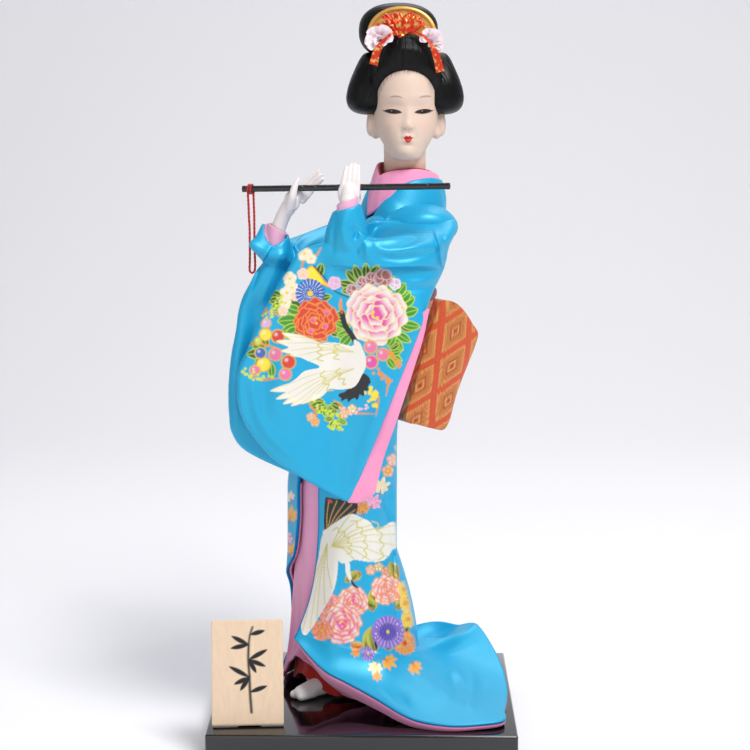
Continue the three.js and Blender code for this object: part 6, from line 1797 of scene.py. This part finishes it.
def flowerPiece(name, middle, petals, node):
    shells, shares = [], []
    for offset, turn, lean, long, wide, cup, curl in petals:
        root = onHead(*(np.array(middle) + offset))
        shell, share = petalShell(root, math.radians(turn - 90), lean, long, wide, cup, curl)
        shells.append(shell)
        shares.append(share)
    share = np.concatenate(shares)
    paint = mix(linear(246, 184, 204), linear(250, 236, 240), smooth(0.0, 0.5, share)[:, None])
    paint = mix(paint, linear(246, 190, 208), (0.5 * smooth(0.86, 1, share))[:, None])
    makePiece(name, joinShells(shells), "head", finishes["petals"], node, paint)


rightFlower = [
    ((-1.5, 0.6, -1.8), 150, 0.5, 6.2, 3.4, 1.2, 0.6), ((0.5, 0.3, 0.8), 60, 0.4, 5.0, 3.2, 1.0, 0.5),
    ((-1.8, 0.3, 0.2), 115, 0.4, 5.2, 3.2, 1.1, 0.6), ((-2.0, 0, -1.2), 205, 0.5, 5.2, 3.0, 1.1, 0.6),
    ((0.5, 0.1, -0.4), 15, 0.5, 5.6, 2.4, 0.9, 0.6), ((0.4, -0.4, -0.8), -30, 0.7, 3.8, 2.4, 0.9, 0.5),
    ((-1.0, -0.8, -0.8), 170, 0.9, 3.8, 2.4, 1.0, 0.6), ((-0.8, -0.9, -0.2), 85, 0.9, 3.4, 2.3, 1.0, 0.6),
    ((-0.6, -0.9, -1.0), 250, 0.8, 3.4, 2.2, 0.9, 0.6), ((-0.6, -1.3, -0.5), 120, 1.2, 2.6, 1.6, 0.8, 0.6),
]
leftFlower = [
    ((0.5, 0.5, -0.5), 60, 0.4, 5.4, 2.4, 0.9, 0.5), ((1.0, 0.3, -1.2), 20, 0.5, 5.2, 2.2, 0.9, 0.5),
    ((1.4, 0.2, -2.0), -15, 0.5, 5.0, 2.2, 0.9, 0.5), ((-0.2, 0.4, 0.4), 110, 0.4, 4.4, 2.2, 0.8, 0.5),
    ((1.2, 0.0, -2.6), -55, 0.5, 4.8, 2.2, 0.9, 0.5), ((-0.6, 0.2, -0.4), 165, 0.5, 4.6, 2.0, 0.8, 0.5),
    ((0.4, -0.6, -1.0), 75, 0.9, 3.4, 1.8, 0.8, 0.5), ((0.6, -0.7, -1.4), 10, 0.9, 3.4, 1.8, 0.8, 0.5),
    ((0.4, -0.7, -1.8), -60, 0.9, 3.2, 1.8, 0.8, 0.5), ((0.2, -1.0, -1.2), 130, 1.2, 2.4, 1.4, 0.7, 0.5),
]
flowerPiece("flower_right_silk", (-10.2, -13.6, 48.8), rightFlower, "flower_right")
flowerPiece("flower_left_silk", (9.4, -13.6, 48.6), leftFlower, "flower_left")


def streamerPiece(name, path, node, seed):
    # a foil ribbon along the front of the hair that widens where it hangs
    line = throughPoints([onHead(*p) for p in path], 60)
    way = np.gradient(line, axis=0)
    way /= np.linalg.norm(way, axis=1, keepdims=True)
    across = np.cross(way, (0, -1, 0))
    across /= np.linalg.norm(across, axis=1, keepdims=True)
    half = np.interp(np.linspace(0, 1, 60), (0, 0.45, 0.62, 1), (0.5, 0.6, 1.4, 1.75))[:, None, None]
    v = np.linspace(-1, 1, 9)[None, :, None]
    crumple = 0.18 * np.sin(np.linspace(0, 60, 60)[:, None] * 0.9 + np.arange(9)[None] * 1.7 + seed)
    face = line[:, None] + across[:, None] * half * v + np.array((0, -1, 0)) * crumple[..., None]
    shell = sheetShell(face, face + np.array((0, 0.15, 0)))
    color, gilt = foilPaint(shell[0], seed)
    makePiece(name, shell, "head", finishes["foil"], node, color, gilt)


rightStreamer = [(-1.5, -16.4, 51.6), (-5.5, -16.6, 50.6), (-9.2, -17.2, 47.6), (-11.8, -17.4, 43.4),
    (-13.2, -17.0, 38.2)]
leftStreamer = [(2.0, -16.4, 51.4), (6.4, -16.8, 49.8), (9.6, -17.4, 46.6), (12.0, -17.4, 41.6),
    (13.6, -17.0, 35.4)]
streamerPiece("streamer_right_ribbon", rightStreamer, "streamer_right", 2)
streamerPiece("streamer_left_ribbon", leftStreamer, "streamer_left", 4)
print("hair ornaments done")

# Hands on the flute
fluteSet = {"from": (-47.5, -22, 229), "to": (34.3, -38, 231.4), "radius": 1.25,
            "bands": (0.2, 0.41, 0.63, 0.84), "holes": (0.3, 0.36, 0.47, 0.53, 0.58, 0.69, 0.9),
            "holeDeep": 0.45, "bore": (0.72, 0.66), "boreDeep": 3}
handSet = {"leftAt": -5.4, "rightAt": -27.8, "clear": 2.75, "voxel": 0.26}  # clear: flute to finger
fluteStart, fluteEnd = np.array(fluteSet["from"], float), np.array(fluteSet["to"], float)


def fluteAt(x):
    return mix(fluteStart, fluteEnd, (x - fluteStart[0]) / (fluteEnd[0] - fluteStart[0]))


def limb(points, radii):
    line = throughPoints(points, 14)
    radius = np.interp(np.linspace(0, 1, 14), np.linspace(0, 1, len(radii)), radii)
    ends = [eggShell(line[0], (radius[0],) * 3, 16, 10), eggShell(line[-1], (radius[-1],) * 3, 16, 10)]
    return [tubeShell(sweep(line, radius, 18))] + ends


def handPiece(name, shells, node):
    points, faces = remeshed(*joinShells(shells), handSet["voxel"], 5)
    return makePiece(name, (points, faces), "doll", finishes["white"], node)


leftGrip = fluteAt(handSet["leftAt"])
leftAhead = leftGrip[1] - handSet["clear"]
leftHand = limb([(-4.2, -35.4, 212), (-5.0, -35.4, 219), (-5.2, -35, 225)], (3.5, 3.4, 3.4))
leftHand += limb([(-5.2, -35, 224), (-5.1, leftAhead - 0.5, 229.5)], (3.2, 3.0))
leftHand.append(eggShell((-5.1, leftAhead - 0.4, 228), (4.4, 1.9, 5.2)))
for i, tall in enumerate((238.4, 239.2, 239.5, 238.7)):
    root = np.array((-8.1 + 2.05 * i, leftAhead - 0.3, leftGrip[2] - 2))
    tip = np.array((-6.1 + 1.62 * i, leftAhead + 0.6, tall))
    leftHand += limb([root, (root + tip) / 2 + (0.1, -0.5, 0), tip], (1.25, 1.08, 0.74))
leftHand += limb([(-2.6, leftAhead + 1, 224.5), (-1.7, leftGrip[1] + 2.6, leftGrip[2] - 4),
                  (-2.0, leftGrip[1] + 2.8, leftGrip[2] + 1.6)], (1.6, 1.3, 1.0))
handPiece("hand_left_skin", leftHand, "hand_left")

rightGrip = fluteAt(handSet["rightAt"])
behind = rightGrip[1] + handSet["clear"]
ahead = rightGrip[1] - handSet["clear"]
rightHand = limb([(-35.2, -18.8, 204.5), (-34.2, -20, 211), (-31.6, -21.8, 218), (-29.3, -23, 222.4)],
                 (3.5, 3.1, 2.9, 2.9))
rightHand += limb([(-29.6, -22.8, 221), (-27.6, -24, 224.8), (-25.4, -23.6, 227)], (2.9, 3.0, 2.3))
rightHand.append(eggShell((-27.8, -24.2, 224.4), (3.2, 2.3, 4.2)))
rightTips = ((-17.2, 236.2), (-16.2, 234.7), (-15.6, 233.0), (-19.4, 228.6))
for i, (x, z) in enumerate(rightTips):
    root = np.array((-26 + 0.8 * i, behind, 227.6 - 1.0 * i))
    tip = np.array((x, behind + 0.3 - 0.2 * i, z))
    rightHand += limb([root, (root + tip) / 2 + (0.3, 0.8, 0.3), tip], (1.45, 1.15, 0.72))
rightHand += limb([(-28.4, -25.4, 222.5), (-27.5, ahead + 0.4, 226.2), (-26.6, ahead, 230),
    (-25.2, ahead + 0.3, 233.2)], (2.1, 1.75, 1.45, 0.85))
handPiece("hand_right_skin", rightHand, "hand_right")


# Pink cuffs lining the sleeve mouths
cuffSet = {"outer": 1.3, "inner": 1.9, "wrist": (-33.6, -20.6, 213.2), "wristRadius": 5.3,
    "wristSlope": 0.42}


def cuffPiece(name, rings, node):
    outer = loft([shrunk(ring, cuffSet["outer"]) for ring in rings], 96, 30)
    inner = loft([shrunk(ring, cuffSet["inner"]) for ring in rings], 96, 30)
    shell = sheetShell(outer.transpose(1, 0, 2), inner.transpose(1, 0, 2), wrapN=True)
    paint = np.tile(linear(*shades["cuff"]), (len(shell[0]), 1))
    piece = makePiece(name, shell, "doll", finishes["pink"], node, paint)


leftBand = slanted((-5.6, -35.6), (5.5, 5.6), 225.5, (0.28, 0))
cuffPiece("cuff_left_band", [leftMouth[3] + (0, 0, -1), leftMouth[4], leftBand], "cuff_left")
rightRim = [np.array(ring, float) - (0, 0, 0.4) for ring in rightSet["mouth"][1:]]
rimWay = rightRim[-1] - rightRim[-1].mean(axis=0)
rimWay[:, 2] = 0
rimWay *= cuffSet["wristRadius"] / np.linalg.norm(rimWay, axis=1, keepdims=True)
rightRim.append(np.array(cuffSet["wrist"]) + rimWay - np.outer(cuffSet["wristSlope"] * rimWay[:, 0],
    (0, 0, 1)))
cuffPiece("cuff_right_band", rightRim, "cuff_right")

# Flute with its finger holes, and the cord's knot
fluteShare = np.linspace(0, 1, 220)
fluteLine = fluteStart + (fluteEnd - fluteStart) * fluteShare[:, None]
fluteEnds = 1 + 0.05 * bump(fluteShare, 0.008, 0.008) + 0.05 * bump(fluteShare, 0.992, 0.008)
fluteBands = 0.03 * sum(bump(fluteShare, k, 0.006) for k in fluteSet["bands"])
fluteRadius = fluteSet["radius"] * (fluteEnds + fluteBands)
fluteRings = sweep(fluteLine, fluteRadius, 32)
fluteWay = (fluteEnd - fluteStart) / np.linalg.norm(fluteEnd - fluteStart)


def boreRing(ring, share, depth=0.0):
    return mix(ring.mean(0), ring, share) + depth * fluteWay


boreWide, boreNarrow = fluteSet["bore"]
firstBore = [boreRing(fluteRings[0], boreNarrow, fluteSet["boreDeep"]), boreRing(fluteRings[0], boreWide)]
lastBore = [boreRing(fluteRings[-1], boreWide), boreRing(fluteRings[-1], boreNarrow, -fluteSet["boreDeep"])]
fluteGrid = np.concatenate([firstBore, fluteRings, lastBore])
upward = np.array((0, -0.55, 0.83))
for share in fluteSet["holes"]:
    spot = fluteStart + (fluteEnd - fluteStart) * share + upward * fluteSet["radius"]
    away = np.linalg.norm(fluteGrid - spot, axis=-1)
    fluteGrid = fluteGrid - fluteSet["holeDeep"] * smooth(0.75, 0.35, away)[..., None] * upward
makePiece("flute_tube", tubeShell(fluteGrid), "flute", finishes["flute"], "flute", sharp=50)
knotSet = {"radius": 0.4, "reach": 1.68, "along": 2.2, "shift": 0.1}
knotTurns = np.linspace(-0.5 * np.pi, 3.5 * np.pi, 130)
knotSide = np.cross(fluteWay, (0, 0, 1))
knotSide /= np.linalg.norm(knotSide)
knotUp = np.cross(knotSide, fluteWay)
knotMiddle = fluteAt(cordSet["knot"][0])
knotRun = (knotTurns - knotTurns[0]) / np.ptp(knotTurns) - 0.5
knotLine = (knotMiddle + np.outer(knotSet["shift"] + knotSet["along"] * knotRun, fluteWay)
    + knotSet["reach"] * (np.outer(np.cos(knotTurns), knotSide) + np.outer(np.sin(knotTurns), knotUp)))


def knotPly(share, angle):
    return 0.88 + 0.18 * np.abs(np.cos(angle + share * 30))


knotEnd = eggShell(knotMiddle + np.array((0.1, -0.1, -1.75)), (1.35, 0.6, 0.5), 24, 14)
knotShells = [tubeShell(sweep(knotLine, knotSet["radius"], 12, knotPly)), knotEnd]
makePiece("cord_knot_turns", joinShells(knotShells), "flute", finishes["cord"], "flute_knot")
print("hands and flute done")

# Feet in split-toed socks
footSet = {"long": 30, "apart": 7, "toes": {"left": 30, "right": 14}, "voxel": 0.42, "clear": 0.3}


def footPiece(side, sign):
    toe = footSet["toes"][side]

    def at(forward, left, height):
        fx, fy = toward(0)
        lx, ly = toward(90)
        along = sign * footSet["apart"] + left
        return np.array((stand[0] + forward * fx + along * lx, stand[1] + forward * fy + along * ly,
            deck + height))

    heel = toe - footSet["long"]
    shells = limb([at(heel + 4.5, 0, 4.6), at(heel + 12, 0, 5.0), at(toe - 9, 0, 3.9),
        at(toe - 4, 0.2 * sign, 3.2)], (4.2, 4.3, 3.9, 3.1))
    shells += limb([at(toe - 9, -1.6 * sign, 3.2), at(toe - 1.9, -2.0 * sign, 2.3)], (2.4, 1.8))
    shells += limb([at(toe - 9, 1.6 * sign, 3.0), at(toe - 3.0, 1.9 * sign, 2.2)], (2.6, 1.9))
    shells += limb([at(heel + 6, 0, 6), at(heel + 7, 0, 14), at(heel + 7.6, 0, 21)], (4.2, 3.8, 3.8))
    points, faces = remeshed(*joinShells(shells), footSet["voxel"], 6)
    points[:, 2] = np.maximum(points[:, 2], deck + footSet["clear"])
    makePiece("foot_" + side + "_sock", (points, faces), "doll", finishes["sock"],
        "foot_" + side)


footPiece("left", 1)
footPiece("right", -1)

# Base and name plate
baseLow, baseHigh = nodeBox("base_board")


def roundedBox(low, high, radius, steps=4):
    work = bmesh.new()
    bmesh.ops.create_cube(work, size=1)
    for v in work.verts:
        v.co = Vector([low[k] if v.co[k] < 0 else high[k] for k in range(3)])
    bmesh.ops.bevel(work, geom=work.edges[:], offset=radius, segments=steps, affect="EDGES", profile=0.5)
    points = np.array([v.co for v in work.verts])
    faces = [[v.index for v in f.verts] for f in work.faces]
    work.free()
    return points, faces


makePiece("base_lacquer", roundedBox(baseLow, baseHigh, 0.9), "doll",
    finishes["lacquer"], "base_board", sharp=40)
plaqueSet = {"size": (29, 43, 2.4), "lean": 15, "turn": 4, "at": (-45.9, -46.5), "corner": 1.2, "low": 0.7,
             "wedgeHalf": 4.3, "wedgeShare": 0.4, "wedgeReach": 11.5}


def plaquePoint(x, y, z):
    lean, turn = math.radians(plaqueSet["lean"]), math.radians(plaqueSet["turn"])
    back = y * math.cos(lean) + z * math.sin(lean)
    up = z * math.cos(lean) - y * math.sin(lean)
    return np.stack(np.broadcast_arrays(plaqueSet["at"][0] + x * math.cos(turn) - back * math.sin(turn),
                                        plaqueSet["at"][1] + x * math.sin(turn) + back * math.cos(turn),
                                        deck + 0.3 + up), axis=-1)


plaqueWide, plaqueTall, plaqueThick = plaqueSet["size"]
plaqueLow, corner = plaqueSet["low"], plaqueSet["corner"]
plaqueX = np.linspace(-plaqueWide / 2, plaqueWide / 2, 118)[None] + np.zeros((172, 1))
plaqueZ = np.linspace(plaqueLow, plaqueTall, 172)[:, None] + np.zeros((1, 118))
cornerX = np.abs(plaqueX) - (plaqueWide / 2 - corner)
cornerZ = np.abs(plaqueZ - plaqueTall / 2 - plaqueLow / 2) - (plaqueTall / 2 - plaqueLow / 2 - corner)
cornerFar = np.maximum(np.hypot(np.maximum(cornerX, 0), np.maximum(cornerZ, 0)) / corner, 1)
cornerIn = np.sign(plaqueX) * (np.abs(plaqueX) - cornerX + cornerX / cornerFar)
plaqueX = np.where((cornerX > 0) & (cornerZ > 0), cornerIn, plaqueX)
plaqueRim = np.minimum(plaqueWide / 2 - np.abs(plaqueX), np.minimum(plaqueZ - plaqueLow,
    plaqueTall - plaqueZ))
eased = 0.35 * (1 - smooth(0, 0.6, plaqueRim))
plaqueShell = sheetShell(plaquePoint(plaqueX, eased, plaqueZ),
    plaquePoint(plaqueX, plaqueThick - eased, plaqueZ))
plaqueCanvas = newCanvas(np.tile(np.stack([plaqueX.ravel(), -plaqueZ.ravel()], 1), (2, 1)), (255, 255, 255))
plaqueCanvas["open"] = np.concatenate([np.ones(plaqueX.size), np.zeros(plaqueX.size)])
# ink sprig of bamboo
for points, width in (([(1.5, -6), (1.0, -14), (0.8, -20)], 0.55),
        ([(0.8, -20.6), (0.4, -27), (0.6, -33)], 0.5), ([(0.6, -33.6), (1.2, -37), (2.2, -40)], 0.4)):
    paintStroke(plaqueCanvas, points, width, "dark", 0, False)
for tail, tip in (((0.8, -20), (-7.5, -24.5)), ((0.8, -20), (-5.5, -17.2)), ((0.6, -27), (8.2, -31)),
        ((0.6, -27), (7.4, -24.2)), ((0.6, -33), (-6.4, -36.6)), ((0.6, -33), (-6.8, -31.6)),
        ((1.2, -37), (7.2, -38.6)), ((1.0, -14), (8.0, -16.4)), ((0.8, -20), (-3.0, -14.6)),
        ((0.6, -27), (3.6, -21.6))):
    paintLeaf(plaqueCanvas, tail, tip, 0.95, "dark", None, False, 0.25)
wedgeTall = plaqueTall * plaqueSet["wedgeShare"]
wedgeSides = (-plaqueSet["wedgeHalf"], plaqueSet["wedgeHalf"])
wedge = [plaquePoint(x, plaqueThick + 0.02, z) for x in wedgeSides for z in (1.2, wedgeTall)]
wedgeFoot = [plaquePoint(x, 0, 0) + np.array((0, plaqueSet["wedgeReach"], 0)) for x in wedgeSides]
wedgePoints = np.array([wedge[0], wedge[1], wedgeFoot[0], wedge[2], wedge[3], wedgeFoot[1]])
wedgePoints[[2, 5], 2] = deck + 0.35
wedgeShell = (wedgePoints, [[0, 1, 2], [3, 5, 4], [0, 3, 4, 1], [1, 4, 5, 2], [0, 2, 5, 3]])
woodShell = joinShells([plaqueShell, wedgeShell])
woodPaint = np.vstack([plaqueCanvas["color"], np.ones((6, 3))])
makePiece("name_plate", woodShell, "doll", finishes["plaque"], "name_plaque", woodPaint,
    sharp=45)
for node, finish in (("support_post", "bareWood"), ("neck_dowel", "bareWood"), ("base_screw", "steel"),
                     ("arm_wire_left", "steel"), ("arm_wire_right", "steel")):
    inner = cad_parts[node]
    inner.data.materials.clear()
    inner.data.materials.append(finishes[finish])
print("feet, base and plate done")

# Stage, light and finish
sweepTurn = np.linspace(0, np.pi / 2, 24)
profile = [(-3.0, 0.0)] + [(0.6 + 0.5 * math.sin(t), 0.5 - 0.5 * math.cos(t))
    for t in sweepTurn] + [(1.1, 3.0)]
backdrop = np.array([[(x, y, z - 0.0004) for y, z in profile] for x in (-4, 4)])
floorMesh = bpy.data.meshes.new("floor")
floorFaces = [tuple(int(k) for k in f) for f in gridFaces(*backdrop.shape[:2])]
floorMesh.from_pydata([tuple(p) for p in backdrop.reshape(-1, 3)], [], floorFaces)
floorMesh.shade_smooth()
floorMesh.materials.append(newFinish("pale_floor", (249, 248, 251), 0.8))
floorObject = bpy.data.objects.new("floor", floorMesh)
bpy.context.collection.objects.link(floorObject)


lamps = {  # place, aim, size in m, power in W
    "key_light": ((0.42, -0.6, 1.1), (0, 0, 0.16), 0.4, 10.5),
    "fill_light": ((-0.35, -1.0, 0.3), (0, 0, 0.1), 0.6, 1.2),
    "top_light": ((0.1, 0.42, 0.85), (0.03, 0, 0.1), 0.5, 2.2),
}
for name, (at, aim, size, power) in lamps.items():
    data = bpy.data.lights.new(name, "AREA")
    data.size = size
    data.energy = power
    lamp = bpy.data.objects.new(name, data)
    lamp.location = at
    lamp.rotation_euler = (Vector(aim) - Vector(at)).to_track_quat("-Z", "Y").to_euler()
    bpy.context.collection.objects.link(lamp)
world = bpy.data.worlds.new("studio")
world.use_nodes = True
sky = world.node_tree.nodes["Background"]
sky.inputs["Color"].default_value = (0.95, 0.97, 1.0, 1)
sky.inputs["Strength"].default_value = 0.4
bpy.context.scene.world = world
bpy.context.scene.view_settings.view_transform = "Standard"

bpy.context.view_layer.update()
